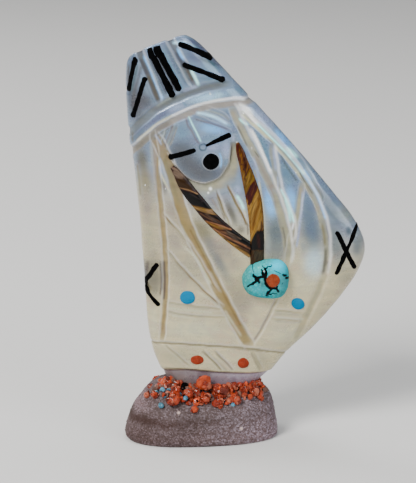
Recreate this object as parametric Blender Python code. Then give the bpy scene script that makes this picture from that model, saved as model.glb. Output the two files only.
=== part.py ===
"""Maiden fetish: a carved slab of mother-of-pearl with inlays, standing on a small stone.

The front of the carving faces -Y and +Z is up. The origin is on the stone's underside, under its middle.
Lengths are in metres. Outline, cuts and inlays of the figure are drawn on a grid whose unit is a
hundredth of the figure's height, with x from the stone's centre line and z from the figure's foot.
"""

import math
import random

import bmesh
import bpy
from mathutils import Matrix, Vector
from mathutils.bvhtree import BVHTree

# The figure's blank, a slab that is thicker in front of its middle plane than behind it
FIGURE_HEIGHT = 0.0565
FRONT_DEPTH = 0.0036
BACK_DEPTH = 0.0024
SECTION_POWER = 3.0
TOP_ROUNDED_SECTIONS = 2
THINNEST = 0.00015

# Left edge x, z, right edge x, z, and thickness share, from the foot to the top edge
SECTIONS = [
    (-9.9, 0.0, 15.6, 0.0, 0.70),
    (-11.6, 4.4, 19.8, 4.0, 0.78),
    (-13.8, 10.0, 24.8, 10.2, 0.86),
    (-15.2, 17.0, 32.2, 17.5, 0.94),
    (-15.8, 25.0, 38.7, 25.3, 1.00),
    (-16.2, 33.0, 44.0, 33.3, 1.00),
    (-16.7, 40.0, 46.0, 40.5, 1.00),
    (-17.2, 48.0, 43.2, 47.8, 1.00),
    (-18.0, 56.0, 37.3, 55.5, 1.00),
    (-18.9, 64.5, 30.0, 64.4, 1.00),
    (-19.9, 72.0, 22.0, 73.7, 0.97),
    (-20.3, 79.5, 13.6, 83.0, 0.93),
    (-20.4, 86.5, 6.0, 91.2, 0.90),
    (-20.0, 91.3, 0.8, 96.7, 0.88),
    (-19.6, 93.2, -1.5, 98.9, 0.87),
    (-19.0, 94.2, -4.4, 100.1, 0.86),
]

# The stone
BASE_WIDTH = 0.0250
BASE_DEPTH = 0.0144
BASE_HEIGHT = 0.0086
BASE_LEDGE = 0.0006
BASE_TURN = math.radians(7)
BASE_POWER = 2.6
BASE_SIDES = 24
# Height share, then sideways and front-to-back spread, from the flat under the figure (0) to the widest
# line (1)
BASE_PROFILE = [
    (0.00, 0.97, 0.96),
    (0.10, 1.00, 1.00),
    (0.45, 0.87, 0.92),
    (0.60, 0.77, 0.83),
    (0.72, 0.66, 0.64),
    (0.87, 0.45, 0.32),
    (1.00, 0.00, 0.00),
]
BASE_SHOULDER = 3

# Fits: the glue line round every inlay, and the depth that inlays are let in
GLUE_LINE = 0.00005
INLAY_DEPTH = 0.0008
CUT_CLEAR = 0.0009
CUT_OVERSHOOT = 0.0003

# How cuts are drawn: grid units between their frames, and shares of their width or depth
CUT_STEP = 6.5
CHIN_STEP = 3.2
SHARP_CUT = 0.0006
FLOOR_SHARE = 0.14
LEAN_SHARE = 0.36
END_RISE = 0.75
END_NARROWING = 0.55

# How finely the solids are faceted
BLANK_COLUMNS = 24
TOP_ROWS = 4
TOP_ROW_CROWDING = 1.6
BELOW_FOOT = -0.05
RING_STEPS = 20
LINE_STEPS = 24
PEG_SIDES = 12
STRIP_END_POINTS = 5
STRIP_END_BULGE = 0.7

# Cut widths and depths
BROAD_CUT = (0.00100, 0.00038)
BAND_CUT = (0.00085, 0.00032)
ROBE_CUT = (0.00078, 0.00034)
FINE_CUT = (0.00040, 0.00020)
CHIN_CUT = (0.00180, 0.00065)
HEM_STEP = 0.00045

# Cuts that run right round the figure: the headband's two and the hem's, as front points from left to right
BAND_RINGS = {
    "headband_top": ([(-20.2, 74.2), (-15.4, 79.7), (-8.6, 83.7), (-0.4, 86.6), (9.4, 87.5)], BAND_CUT),
    "headband_foot": ([(-19.5, 68.4), (-14.1, 73.5), (-5.8, 78.7), (2.4, 82.1), (13.4, 83.3)], BROAD_CUT),
    "hem": ([(-14.3, 12.8), (-6.1, 13.0), (3.8, 12.5), (13.7, 11.7), (24.4, 9.6)], FINE_CUT),
}
HEM_EDGE = [(-11.6, 4.5), (-4.7, 5.2), (3.8, 4.8), (12.3, 4.3), (20.1, 4.2)]

# Cuts on the front: points, size, and how far the deepest line leans to the cut's right side (-1 to 1)
FRONT_CUTS = {
    "flute_left": ([(-16.9, 97.0), (-14.2, 89.5), (-11.6, 82.3)], BROAD_CUT, 0.0),
    "flute_right": ([(-8.6, 101.0), (-5.0, 93.4), (-1.6, 86.6)], BROAD_CUT, 0.0),
    "parting": ([(-3.8, 79.2), (-0.2, 71.8)], FINE_CUT, 0.0),
    "strand_left_1": ([(-6.7, 76.5), (-9.6, 69.4)], FINE_CUT, 0.0),
    "strand_left_2": ([(-8.0, 76.0), (-10.8, 70.0)], FINE_CUT, 0.0),
    "strand_right_1": ([(-2.8, 79.2), (2.4, 77.1), (8.3, 74.6)], FINE_CUT, 0.0),
    "strand_right_2": ([(-0.6, 80.4), (4.0, 78.6), (8.3, 76.4)], FINE_CUT, 0.0),
    "robe_inner": (
        [(8.1, 81.6), (10.3, 76.7), (12.9, 71.7), (17.2, 63.2), (20.2, 56.0), (22.8, 47.5), (23.9, 40.0)],
        BROAD_CUT,
        0.7,
    ),
    "robe_outer": (
        [(9.6, 81.4), (14.0, 77.0), (23.1, 68.0), (30.4, 57.3), (34.5, 46.0), (34.3, 33.6), (29.4, 20.9),
         (26.0, 13.0)],
        ROBE_CUT,
        0.7,
    ),
    "robe_fold": ([(19.3, 71.2), (20.3, 63.5), (23.4, 53.3), (25.1, 47.6), (24.3, 41.0)], ROBE_CUT, 0.6),
    "robe_pleat": ([(27.9, 59.8), (27.0, 53.8), (25.2, 45.5), (23.9, 38.0)], ROBE_CUT, -0.3),
    "robe_front_right": ([(21.4, 27.3), (18.7, 21.2), (14.1, 12.4)], FINE_CUT, 0.0),
    "sash_right_1": ([(19.6, 23.4), (29.4, 22.1)], FINE_CUT, 0.0),
    "sash_right_2": ([(19.1, 20.9), (28.6, 19.7)], FINE_CUT, 0.0),
    "side_edge": (
        [(-13.6, 74.2), (-12.6, 66.0), (-11.6, 56.0), (-10.4, 43.6), (-10.1, 31.0), (-11.2, 13.4)],
        FINE_CUT,
        0.0,
    ),
    "robe_lap": (
        [(-13.2, 73.4), (-8.5, 63.2), (-4.8, 50.1), (0.1, 38.9), (6.0, 26.8), (13.8, 12.4)],
        ROBE_CUT,
        0.0,
    ),
    "lap_fold": ([(-10.8, 50.6), (-4.3, 43.3), (0.4, 36.0), (4.6, 29.0)], FINE_CUT, 0.0),
    "panel_fold": ([(-9.9, 40.7), (-2.7, 32.5), (5.8, 24.6)], FINE_CUT, 0.0),
    "sash_left_1": ([(-9.9, 25.3), (-3.2, 24.6), (6.3, 23.6)], FINE_CUT, 0.0),
    "sash_left_2": ([(-9.9, 22.5), (-3.2, 21.6), (7.8, 21.1)], FINE_CUT, 0.0),
    "collar_left": ([(4.0, 58.2), (5.7, 53.4), (7.7, 48.5)], FINE_CUT, 0.0),
    "collar_right": ([(7.1, 59.3), (9.6, 54.2), (12.6, 48.4)], FINE_CUT, 0.0),
    "skirt_slant_1": ([(-10.1, 12.2), (-3.3, 6.2)], FINE_CUT, 0.0),
    "skirt_slant_2": ([(0.4, 11.6), (6.0, 5.4)], FINE_CUT, 0.0),
    "skirt_slant_3": ([(3.5, 11.6), (9.4, 5.4)], FINE_CUT, 0.0),
    "skirt_slant_4": ([(14.3, 11.0), (17.2, 5.2)], FINE_CUT, 0.0),
}
CHIN = [(-8.6, 66.4), (-5.9, 63.5), (-2.6, 61.2), (0.7, 60.2), (3.8, 61.0), (6.2, 63.3), (8.2, 67.5),
        (8.6, 74.0)]

# Plainer cuts that finish the back
BACK_CUTS = {
    "back_hair_left": ([(-7.0, 78.4), (-4.0, 60.0), (0.0, 42.0)], FINE_CUT),
    "back_hair_right": ([(2.6, 82.0), (3.6, 62.0), (2.0, 42.0)], FINE_CUT),
    "back_robe_left": ([(-13.0, 74.0), (-9.0, 50.0), (-4.0, 30.0), (-1.0, 13.0)], ROBE_CUT),
    "back_robe_right": ([(12.5, 82.5), (26.0, 62.0), (30.0, 42.0), (22.0, 24.0), (14.0, 12.5)], ROBE_CUT),
}

# Jet strips: two ends and two widths, the widths in metres
JET_STRIPS = {
    "headdress_centre_left": ((-14.4, 98.6), (-8.0, 84.3), 0.00085, 0.00112),
    "headdress_centre_right": ((-12.2, 99.6), (-5.6, 85.9), 0.00098, 0.00108),
    "headdress_left_upper": ((-17.7, 94.4), (-20.4, 86.0), 0.00080, 0.00080),
    "headdress_left_lower": ((-15.5, 89.2), (-18.4, 79.0), 0.00080, 0.00062),
    "headdress_right_upper": ((-5.2, 98.1), (2.9, 94.2), 0.00072, 0.00072),
    "headdress_right_lower": ((-4.0, 93.1), (5.9, 89.1), 0.00074, 0.00074),
    "left_eye": ((-8.4, 67.6), (-2.0, 69.4), 0.00074, 0.00072),
    "right_eye": ((1.5, 70.9), (7.6, 73.6), 0.00052, 0.00068),
}
# The right cross: its second strip is two arms, which end where they meet the long strip
RIGHT_CROSS = {
    "right_cross_long_strip": ((37.7, 45.6), (43.1, 35.0), 0.00074, 0.00066),
    "right_cross_upper_arm": ((40.5, 40.1), (43.4, 46.8), 0.00062, 0.00062),
    "right_cross_lower_arm": ((40.5, 40.1), (37.9, 34.0), 0.00066, 0.00066),
}
# The left cross is bent round the figure's edge, so each arm starts outside it and shows in front and behind
EDGE_CROSS_ARMS = {
    "left_cross_upper_arm": ((-17.2, 28.3), (-12.5, 36.4), 0.00074, 0.00078),
    "left_cross_lower_arm": ((-17.2, 29.3), (-12.2, 24.6), 0.00070, 0.00074),
}

# Round inlays: centre, radius and height above the shell; the top is given as shares of radius and height
PEG_TOP = [(1.0, 0.2), (0.82, 0.8), (0.4, 1.0)]
MOUTH = ((2.8, 66.4), 0.00126, 0.00003)
DOTS = {
    "left_turquoise_dot": ((-3.8, 26.8), 0.00108, 0.00012, "turquoise"),
    "right_turquoise_dot": ((27.2, 25.3), 0.00096, 0.00012, "turquoise"),
    "left_coral_dot": ((-1.2, 8.3), 0.00088, 0.00022, "coral"),
    "right_coral_dot": ((11.7, 7.5), 0.00086, 0.00022, "coral"),
}

# Braids, as x, z and width along each one's middle line
LEFT_BRAID = [
    (-7.9, 65.2, 0.0007),
    (-6.6, 62.8, 0.0013),
    (-4.3, 59.2, 0.0017),
    (-0.6, 54.0, 0.0019),
    (3.2, 50.2, 0.0020),
    (7.6, 46.0, 0.0021),
    (11.2, 43.0, 0.0022),
    (15.0, 40.2, 0.0024),
]
RIGHT_BRAID = [
    (9.8, 71.0, 0.0007),
    (10.7, 67.5, 0.0011),
    (11.9, 64.0, 0.0015),
    (13.3, 59.1, 0.0019),
    (14.4, 54.0, 0.0021),
    (15.1, 48.0, 0.0021),
    (15.4, 42.0, 0.0021),
    (15.5, 35.0, 0.0021),
]
# Each braid's line, how many locks cross it, and how steeply
BRAIDS = {"left_braid": (LEFT_BRAID, 5, 1.5), "right_braid": (RIGHT_BRAID, 4, -1.6)}
BRAID_PROUD = 0.0005
BRAID_FULL_WIDTH = 0.0018
BRAID_STEPS = 14
BRAID_FLAT_SHARE = 0.55
LOCK_CUT = (0.00045, 0.00028)
LOCK_REACH = 0.62

# The turquoise nugget: outline about its middle, and how far it stands out
NUGGET_CENTRE = (18.2, 32.9)
NUGGET_OUTLINE = [
    (-6.4, -0.6), (-5.7, 2.9), (-3.9, 5.0), (-1.4, 5.7), (2.4, 5.8), (4.9, 4.9), (6.3, 2.6),
    (6.4, -1.8), (5.3, -4.6), (2.9, -5.7), (-0.3, -5.9), (-3.4, -5.3), (-5.5, -3.7),
]
NUGGET_SIDES = 18
NUGGET_PROUD = 0.0021
NUGGET_DOME = [(1.0, 0.0), (0.99, 0.30), (0.93, 0.62), (0.78, 0.86), (0.50, 0.97), (0.22, 1.0)]
NUGGET_CORAL = ((1.9, -0.7), 0.00103, 0.00012)

# Chips glued round the foot: angle in degrees (-90 is in front), share of the way to the shoulder, radius
CORAL_CHIPS = [
    (-144, 0.05, 0.00144), (-147, 0.32, 0.00076), (-128, 0.00, 0.00078), (-176, 0.45, 0.00071),
    (-163, 0.70, 0.00068), (-119, 0.66, 0.00126), (-106, 0.30, 0.00083), (-97, 0.00, 0.00124),
    (-88, 0.00, 0.00095), (-93, 0.36, 0.00084), (-84, 0.24, 0.00112), (-77, 0.52, 0.00074),
    (-84, 0.66, 0.00054), (-89, 0.70, 0.00073), (-98, 0.86, 0.00068), (-73, 0.28, 0.00078),
    (-66, 0.66, 0.00081), (-57, 0.42, 0.00085), (-42, 0.00, 0.00076), (-37, 0.56, 0.00088),
    (30, 0.35, 0.00081), (74, 0.40, 0.00095), (112, 0.30, 0.00090), (152, 0.40, 0.00083),
]
TURQUOISE_CHIPS = [(-106, 0.44, 0.00046), (-66, 0.86, 0.00048), (-126, 0.92, 0.00052), (95, 0.60, 0.00061)]
JET_CHIPS = [(-116, 0.05, 0.00081), (-94, 0.60, 0.00046)]
CHIP_GAP = 0.00003
CHIP_SINK = 0.35
CHIP_ROUGHNESS = 0.78
CHIP_ROUNDS = 60

COLOURS = {
    "shell": ((0.72, 0.72, 0.68), 0.22),
    "jet": ((0.006, 0.006, 0.007), 0.35),
    "tiger_stone": ((0.22, 0.11, 0.03), 0.22),
    "turquoise": ((0.12, 0.52, 0.58), 0.30),
    "coral": ((0.55, 0.09, 0.03), 0.32),
    "stone": ((0.20, 0.16, 0.16), 0.85),
}

UNIT = FIGURE_HEIGHT / 100
FOOT_Z = BASE_HEIGHT + GLUE_LINE


def clear_scene():
    for obj in list(bpy.data.objects):
        bpy.data.objects.remove(obj)


def material(slot):
    """A plain material for one kind of stone or shell."""
    found = bpy.data.materials.get(slot)
    if found:
        return found
    colour, roughness = COLOURS[slot]
    made = bpy.data.materials.new(slot)
    made.use_nodes = True
    shader = made.node_tree.nodes["Principled BSDF"]
    shader.inputs["Base Color"].default_value = (*colour, 1)
    shader.inputs["Roughness"].default_value = roughness
    return made


def add_object(name, bm, slot=None):
    """Turns a bmesh into a named object; one with no slot is a cutter."""
    bmesh.ops.recalc_face_normals(bm, faces=bm.faces)
    mesh = bpy.data.meshes.new(name)
    bm.to_mesh(mesh)
    bm.free()
    obj = bpy.data.objects.new(name, mesh)
    bpy.context.scene.collection.objects.link(obj)
    if slot is None:
        obj.hide_render = True
        obj.display_type = "WIRE"
    else:
        mesh.materials.append(material(slot))
    return obj


def boolean(obj, other, operation):
    modifier = obj.modifiers.new(operation.lower() + "_" + other.name, "BOOLEAN")
    modifier.operation = operation
    modifier.object = other


def smooth_between(points, steps):
    """Points read from a smooth curve through the given ones."""
    points = [Vector(p) for p in points]
    if len(points) == 2:
        return [points[0].lerp(points[1], i / steps) for i in range(steps + 1)]
    row = [2 * points[0] - points[1], *points, 2 * points[-1] - points[-2]]
    spans = len(points) - 1
    found = []
    for i in range(steps + 1):
        t = i / steps * spans
        k = min(int(t), spans - 1)
        found.append(curve_point(row[k : k + 4], t - k))
    return found


def curve_point(four, f):
    a, b, c, d = four
    return 0.5 * (2 * b + (c - a) * f + (2 * a - 5 * b + 4 * c - d) * f * f + (3 * b - a - 3 * c + d) * f**3)


def section_at(v):
    """Left edge, right edge and thickness share at v, from 0 at the foot to 1 at the top edge."""
    rows = [Vector(s) for s in SECTIONS]
    rows = [2 * rows[0] - rows[1], *rows, 2 * rows[-1] - rows[-2]]
    spans = len(SECTIONS) - 1
    t = min(v, 1.0) * spans
    k = min(max(int(t), 0), spans - 1)
    x0, z0, x1, z1, share = curve_point(rows[k : k + 4], t - k)
    into = min(1.0, (1.0 - v) * spans / TOP_ROUNDED_SECTIONS)
    share *= max(0.0, 1 - (1 - into) ** SECTION_POWER) ** (1 / SECTION_POWER)
    return Vector((x0, z0)), Vector((x1, z1)), share


def skin(angle, v, inset=0.0):
    """A point of the blank, or of a core that lies the inset under its skin.

    The angle goes from pi at the left edge by the front to 0 at the right edge, and on behind.
    """
    left, right, share = section_at(v)
    c, s = math.cos(angle), math.sin(angle)
    u = 0.5 + 0.5 * math.copysign(abs(c) ** (2 / SECTION_POWER), c)
    out = math.copysign(abs(s) ** (2 / SECTION_POWER), s)
    depth = max(THINNEST, (FRONT_DEPTH if s > 0 else BACK_DEPTH) * share - inset)
    edge_inset = (right - left).normalized() * inset / UNIT
    place = (left + edge_inset).lerp(right - edge_inset, u) * UNIT
    return Vector((place.x, -out * depth, FOOT_Z + place.y - inset * v**4))


def find_on_skin(x, z):
    """The angle and v of a front point of the drawing grid."""
    low, high = 0.0, 1.0
    for _ in range(30):
        v = (low + high) / 2
        left, right, _share = section_at(v)
        if (z - left.y) * (right.x - left.x) > (x - left.x) * (right.y - left.y):
            low = v
        else:
            high = v
    across = right - left
    u = (Vector((x, z)) - left).dot(across) / across.length_squared
    c = max(-1.0, min(1.0, 2 * u - 1))
    return math.acos(math.copysign(abs(c) ** (SECTION_POWER / 2), c)), v


def skin_frame(angle, v):
    """A point of the blank with its outward normal."""
    step = 0.004
    v = min(max(v, step), 1 - step)
    along = skin(angle + step, v) - skin(angle - step, v)
    up = skin(angle, v + step) - skin(angle, v - step)
    return skin(angle, v), up.cross(along).normalized()


def front_frame(x, z):
    return skin_frame(*find_on_skin(x, z))


def blank_rows():
    """Heights v of the blank's rings: one at every section, and closer ones where the top edge is rounded."""
    spans = len(SECTIONS) - 1
    rows = [k / spans for k in range(spans - TOP_ROUNDED_SECTIONS)]
    start = 1 - TOP_ROUNDED_SECTIONS / spans
    return rows + [1 - (1 - start) * (1 - k / TOP_ROWS) ** TOP_ROW_CROWDING for k in range(TOP_ROWS + 1)]


def make_blank(name, inset=0.0, slot=None):
    """The uncarved slab, or a core that lies the inset inside it and runs on below the foot."""
    bm = bmesh.new()
    rows = blank_rows()
    if inset > 0:
        rows.insert(0, BELOW_FOOT)
    rings = []
    for v in rows:
        angles = [2 * math.pi * (i + 0.5) / BLANK_COLUMNS for i in range(BLANK_COLUMNS)]
        rings.append([bm.verts.new(skin(angle, v, inset)) for angle in angles])
    bridge(bm, rings)
    return add_object(name, bm, slot)


def bridge(bm, rings, closed=False):
    """Joins rings of vertices into a tube, capped unless it closes on itself."""
    count = len(rings[0])
    pairs = list(zip(rings, rings[1:]))
    if closed:
        pairs.append((rings[-1], rings[0]))
    for a, b in pairs:
        for i in range(count):
            j = (i + 1) % count
            bm.faces.new((a[i], a[j], b[j], b[i]))
    if not closed:
        bm.faces.new(rings[0])
        bm.faces.new(rings[-1])


def cut_section(width, depth, lean):
    """A cut's outline as side and height: open above the skin, its floor moved to one side by the lean."""
    half_floor = FLOOR_SHARE * width if width > SHARP_CUT else 0.0
    floor = lean * LEAN_SHARE * width
    left, right = floor - half_floor, floor + half_floor
    over = CUT_OVERSHOOT / depth
    top_left = -0.5 * width - (0.5 * width + left) * over
    top_right = 0.5 * width + (0.5 * width - right) * over
    section = [(top_left, CUT_OVERSHOOT), (top_right, CUT_OVERSHOOT), (right, -depth)]
    return section + [(left, -depth)] if half_floor else section


def sweep_cut(name, frames, size, lean=0.0, closed=False, tapered=True):
    """A cutter that follows frames of point and normal over the skin, shallower at its ends if tapered."""
    width, depth = size
    bm = bmesh.new()
    rings = []
    last = len(frames) - 1
    for i, (point, normal) in enumerate(frames):
        before = frames[i - 1 if i or closed else 0][0]
        after = frames[(i + 1) % len(frames) if closed else min(i + 1, last)][0]
        side = normal.cross((after - before).normalized()).normalized()
        at_end = tapered and not closed and i in (0, last)
        rise, narrow = (END_RISE * depth, END_NARROWING) if at_end else (0.0, 1.0)
        section = cut_section(width, depth, lean)
        rings.append([bm.verts.new(point + side * s * narrow + normal * (n + rise)) for s, n in section])
    bridge(bm, rings, closed)
    return add_object("cut_" + name, bm)


def path_frames(points, step=CUT_STEP, back=False):
    """Frames along a drawn line, on the front or the back."""
    length = sum((Vector(b) - Vector(a)).length for a, b in zip(points, points[1:]))
    steps = max(2, round(length / step))
    frames = []
    for x, z in smooth_between(points, steps):
        angle, v = find_on_skin(x, z)
        frames.append(skin_frame(-angle if back else angle, v))
    return frames


def ring_frames(points):
    """Frames along a line that runs round the figure, the same behind as in front."""
    found = sorted(find_on_skin(x, z) for x, z in smooth_between(points, LINE_STEPS))
    frames = []
    for i in range(RING_STEPS):
        angle = -math.pi + 2 * math.pi * (i + 0.5) / RING_STEPS
        low = max((f for f in found if f[0] <= abs(angle)), default=found[0])
        high = min((f for f in found if f[0] >= abs(angle)), default=found[-1])
        span = high[0] - low[0]
        share = (abs(angle) - low[0]) / span if span else 0.0
        frames.append(skin_frame(angle, low[1] + (high[1] - low[1]) * share))
    return frames


def hem_step_cutter():
    """Takes a layer off the figure below the hem, all round, so that the foot stands back from the skirt."""
    line = smooth_between(HEM_EDGE, LINE_STEPS // 2)
    reach = FRONT_DEPTH + CUT_CLEAR
    floor = FOOT_Z - 2 * CUT_CLEAR
    outline = [Vector((p.x * UNIT, FOOT_Z + p.y * UNIT)) for p in line]
    outline = [outline[0] - Vector((reach, 0)), *outline, outline[-1] + Vector((reach, 0))]
    outline += [Vector((outline[-1].x, floor)), Vector((outline[0].x, floor))]
    bm = bmesh.new()
    bridge(bm, [[bm.verts.new((p.x, y, p.y)) for p in outline] for y in (-reach, reach)])
    cutter = add_object("cut_hem_step", bm)
    boolean(cutter, make_blank("guide_foot_core", HEM_STEP), "DIFFERENCE")
    return cutter


def strip_prism(name, ends, grow, levels, slot=None):
    """A round-ended bar, drawn on the grid and driven through the figure from one level to the other."""
    start, end, start_width, end_width = ends
    a = Vector(start) * UNIT
    b = Vector(end) * UNIT
    along = (b - a).normalized()
    across = Vector((-along.y, along.x))
    outline = []
    for centre, half, turn in ((b, end_width / 2 + grow, 0.0), (a, start_width / 2 + grow, math.pi)):
        for i in range(STRIP_END_POINTS):
            angle = turn - math.pi / 2 + math.pi * i / (STRIP_END_POINTS - 1)
            bulge = along * math.cos(angle) * half * STRIP_END_BULGE
            outline.append(centre + bulge + across * half * math.sin(angle))
    bm = bmesh.new()
    bridge(bm, [[bm.verts.new((p.x, y, FOOT_Z + p.y)) for p in outline] for y in levels])
    return add_object(name, bm, slot)


def set_strips(maiden, helpers, strips, wraps=False):
    """Cuts one channel for a group of strips and fills it flush; later strips end at the first."""
    blank, core, deeper_core = helpers
    reach = FRONT_DEPTH + CUT_CLEAR
    joint = None
    for number, (name, ends) in enumerate(strips.items()):
        far = reach + number * GLUE_LINE
        channel_levels = (-far, far if wraps else number * GLUE_LINE)
        channel = strip_prism("channel_" + name, ends, GLUE_LINE, channel_levels)
        strip = strip_prism(name, ends, 0.0, (-far, far if wraps else -GLUE_LINE), "jet")
        boolean(strip, blank, "INTERSECT")
        boolean(strip, core, "DIFFERENCE")
        if joint is None:
            joint = channel
            first_cutter = strip_prism("end_" + name, ends, GLUE_LINE, (-2 * reach, reach))
        else:
            boolean(joint, channel, "UNION")
            boolean(strip, first_cutter, "DIFFERENCE")
    boolean(joint, deeper_core, "DIFFERENCE")
    boolean(maiden, joint, "DIFFERENCE")


def peg(name, point, normal, radius, rise, sink, slot, profile=PEG_TOP):
    """A round inlay across its normal, with a domed top unless another profile is given."""
    side = normal.orthogonal().normalized()
    other = normal.cross(side)
    turns = [2 * math.pi * i / PEG_SIDES for i in range(PEG_SIDES)]
    spokes = [side * math.cos(t) + other * math.sin(t) for t in turns]
    bm = bmesh.new()
    rings = [[bm.verts.new(point - normal * sink + spoke * radius) for spoke in spokes]]
    for spread, height in profile:
        top = point + normal * rise * height
        rings.append([bm.verts.new(top + spoke * radius * spread) for spoke in spokes])
    bridge(bm, rings)
    return add_object(name, bm, slot)


def set_peg(holder, name, point, normal, radius, rise, slot):
    """Drills the holder and fills the hole with a round inlay."""
    wide, deep = radius + GLUE_LINE, INLAY_DEPTH + GLUE_LINE
    hole = peg("hole_" + name, point, normal, wide, CUT_CLEAR, deep, None, profile=[(1.0, 1.0)])
    boolean(holder, hole, "DIFFERENCE")
    return peg(name, point, normal, radius, rise, INLAY_DEPTH, slot)


def braid_body(name, line, grow, slot):
    """A swept bar with an arched front, let into the shell; grown and open in front, it cuts the channel."""
    bm = bmesh.new()
    samples = smooth_between([(x, z, width / UNIT) for x, z, width in line], BRAID_STEPS)
    frames = [front_frame(x, z) for x, z, _ in samples]
    rings = []
    last = len(frames) - 1
    for i, ((point, normal), sample) in enumerate(zip(frames, samples)):
        ahead = (frames[min(i + 1, last)][0] - frames[max(i - 1, 0)][0]).normalized()
        side = normal.cross(ahead).normalized()
        half = sample.z * UNIT / 2 + grow
        end = ahead * grow * ((i == last) - (i == 0))
        top = CUT_CLEAR if grow else BRAID_PROUD * min(1.0, 2 * half / BRAID_FULL_WIDTH)
        floor = -(INLAY_DEPTH + grow)
        shoulder = CUT_CLEAR if grow else 0.0
        flat = BRAID_FLAT_SHARE
        section = [(-1.0, floor), (1.0, floor), (1.0, shoulder), (flat, top), (-flat, top), (-1.0, shoulder)]
        rings.append([bm.verts.new(point + end + side * s * half + normal * n) for s, n in section])
    bridge(bm, rings)
    return add_object(name, bm, slot)


def lock_cuts(name, line, locks, slant):
    """Slanting nicks across a braid, where one lock passes over the next."""
    cutters = []
    samples = smooth_between([(x, z, width / UNIT) for x, z, width in line], 4 * (locks + 1))
    for lock in range(1, locks + 1):
        x, z, width = samples[4 * lock]
        before, after = samples[4 * lock - 2], samples[4 * lock + 2]
        ahead = Vector((after.x - before.x, after.y - before.y)).normalized()
        across = Vector((-ahead.y, ahead.x))
        reach = (across + ahead * slant) * width * LOCK_REACH
        frames = []
        for share in (-1, 0, 1):
            point, normal = front_frame(x + reach.x * share, z + reach.y * share)
            frames.append((point + normal * BRAID_PROUD, normal))
        cutters.append(sweep_cut(f"{name}_lock_{lock}", frames, LOCK_CUT, tapered=False))
    return cutters


def make_braids(maiden, nugget_hole):
    """Two twisted braids; the left one ends against the right one, whose end lies under the nugget."""
    bodies = {}
    for name, (line, locks, slant) in BRAIDS.items():
        channel = braid_body("channel_" + name, line, GLUE_LINE, None)
        boolean(maiden, channel, "DIFFERENCE")
        braid = braid_body(name, line, 0.0, "tiger_stone")
        for cutter in lock_cuts(name, line, locks, slant):
            boolean(braid, cutter, "DIFFERENCE")
        bodies[name] = (braid, channel)
    boolean(bodies["left_braid"][0], bodies["right_braid"][1], "DIFFERENCE")
    for braid, _channel in bodies.values():
        boolean(braid, nugget_hole, "DIFFERENCE")


def smooth_loop(points, count):
    """Points read from a smooth closed curve through the given ones."""
    row = [Vector(p) for p in (points[-1], *points, points[0], points[1])]
    found = []
    for i in range(count):
        t = i / count * len(points)
        k = int(t)
        found.append(curve_point(row[k : k + 4], t - k))
    return found


def nugget_frame():
    """The nugget's place on the shell, with an upright side-to-side axis."""
    centre, normal = front_frame(*NUGGET_CENTRE)
    normal = Vector((normal.x, normal.y, 0)).normalized()
    return centre, normal, Vector((-normal.y, normal.x, 0))


def nugget_rings(bm, grow, levels):
    """Rings of the nugget's outline, each scaled by its level's first number and moved out by the second."""
    centre, normal, side = nugget_frame()
    rings = []
    for scale, out in levels:
        ring = []
        for p in smooth_loop(NUGGET_OUTLINE, NUGGET_SIDES):
            flat = p * UNIT * scale + p.normalized() * grow
            ring.append(bm.verts.new(centre + side * flat.x + Vector((0, 0, flat.y)) + normal * out))
        rings.append(ring)
    return rings


def make_nugget(maiden):
    """The turquoise nugget with its coral dot, seated in a shallow pocket of the shell."""
    bm = bmesh.new()
    levels = [(1.0, -INLAY_DEPTH - GLUE_LINE), (1.0, NUGGET_PROUD + CUT_CLEAR)]
    bridge(bm, nugget_rings(bm, GLUE_LINE, levels))
    hole = add_object("hole_nugget", bm)
    boolean(maiden, hole, "DIFFERENCE")
    bm = bmesh.new()
    dome = [(scale, rise * NUGGET_PROUD) for scale, rise in NUGGET_DOME]
    bridge(bm, nugget_rings(bm, 0.0, [(1.0, -INLAY_DEPTH), *dome]))
    nugget = add_object("turquoise_nugget", bm, "turquoise")
    centre, normal, side = nugget_frame()
    (x, z), radius, rise = NUGGET_CORAL
    place = centre + side * x * UNIT + Vector((0, 0, z * UNIT)) + normal * NUGGET_PROUD
    set_peg(nugget, "nugget_coral_dot", place, normal, radius, rise, "coral")
    return hole


def foot_size():
    """Middle and half lengths of the figure's foot."""
    left, right, share = section_at(0.0)
    middle = (left.x + right.x) / 2 * UNIT
    return middle, (right.x - left.x) / 2 * UNIT, FRONT_DEPTH * share, BACK_DEPTH * share


def base_point(height, side_spread, front_spread, angle):
    """A point of the stone: the spreads go from 0 on the flat under the figure to 1 at the widest line."""
    middle, half_width, front, back = foot_size()
    c, s = math.cos(angle), math.sin(angle)
    px = math.copysign(abs(c) ** (2 / BASE_POWER), c)
    py = math.copysign(abs(s) ** (2 / BASE_POWER), s)
    wide = Vector((px * BASE_WIDTH / 2, py * BASE_DEPTH / 2))
    wide.rotate(Matrix.Rotation(BASE_TURN, 2))
    seat = Vector((middle + px * (half_width + BASE_LEDGE), py * ((front if s < 0 else back) + BASE_LEDGE)))
    x = seat.x + (wide.x - seat.x) * side_spread
    y = seat.y + (wide.y - seat.y) * front_spread
    return Vector((x, y, height * BASE_HEIGHT))


def make_base(name, raised=0.0, slot=None):
    """The stone, or a copy of it that is moved up."""
    bm = bmesh.new()
    rings = []
    for level in BASE_PROFILE:
        angles = [2 * math.pi * i / BASE_SIDES for i in range(BASE_SIDES)]
        rings.append([bm.verts.new(base_point(*level, a) + Vector((0, 0, raised))) for a in angles])
    bridge(bm, rings)
    tree = BVHTree.FromBMesh(bm)
    return add_object(name, bm, slot), tree


def height_under(tree, place):
    hit, *_ = tree.ray_cast(Vector((place.x, place.y, 1.0)), Vector((0, 0, -1)))
    return hit.z if hit else 0.0


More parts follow.
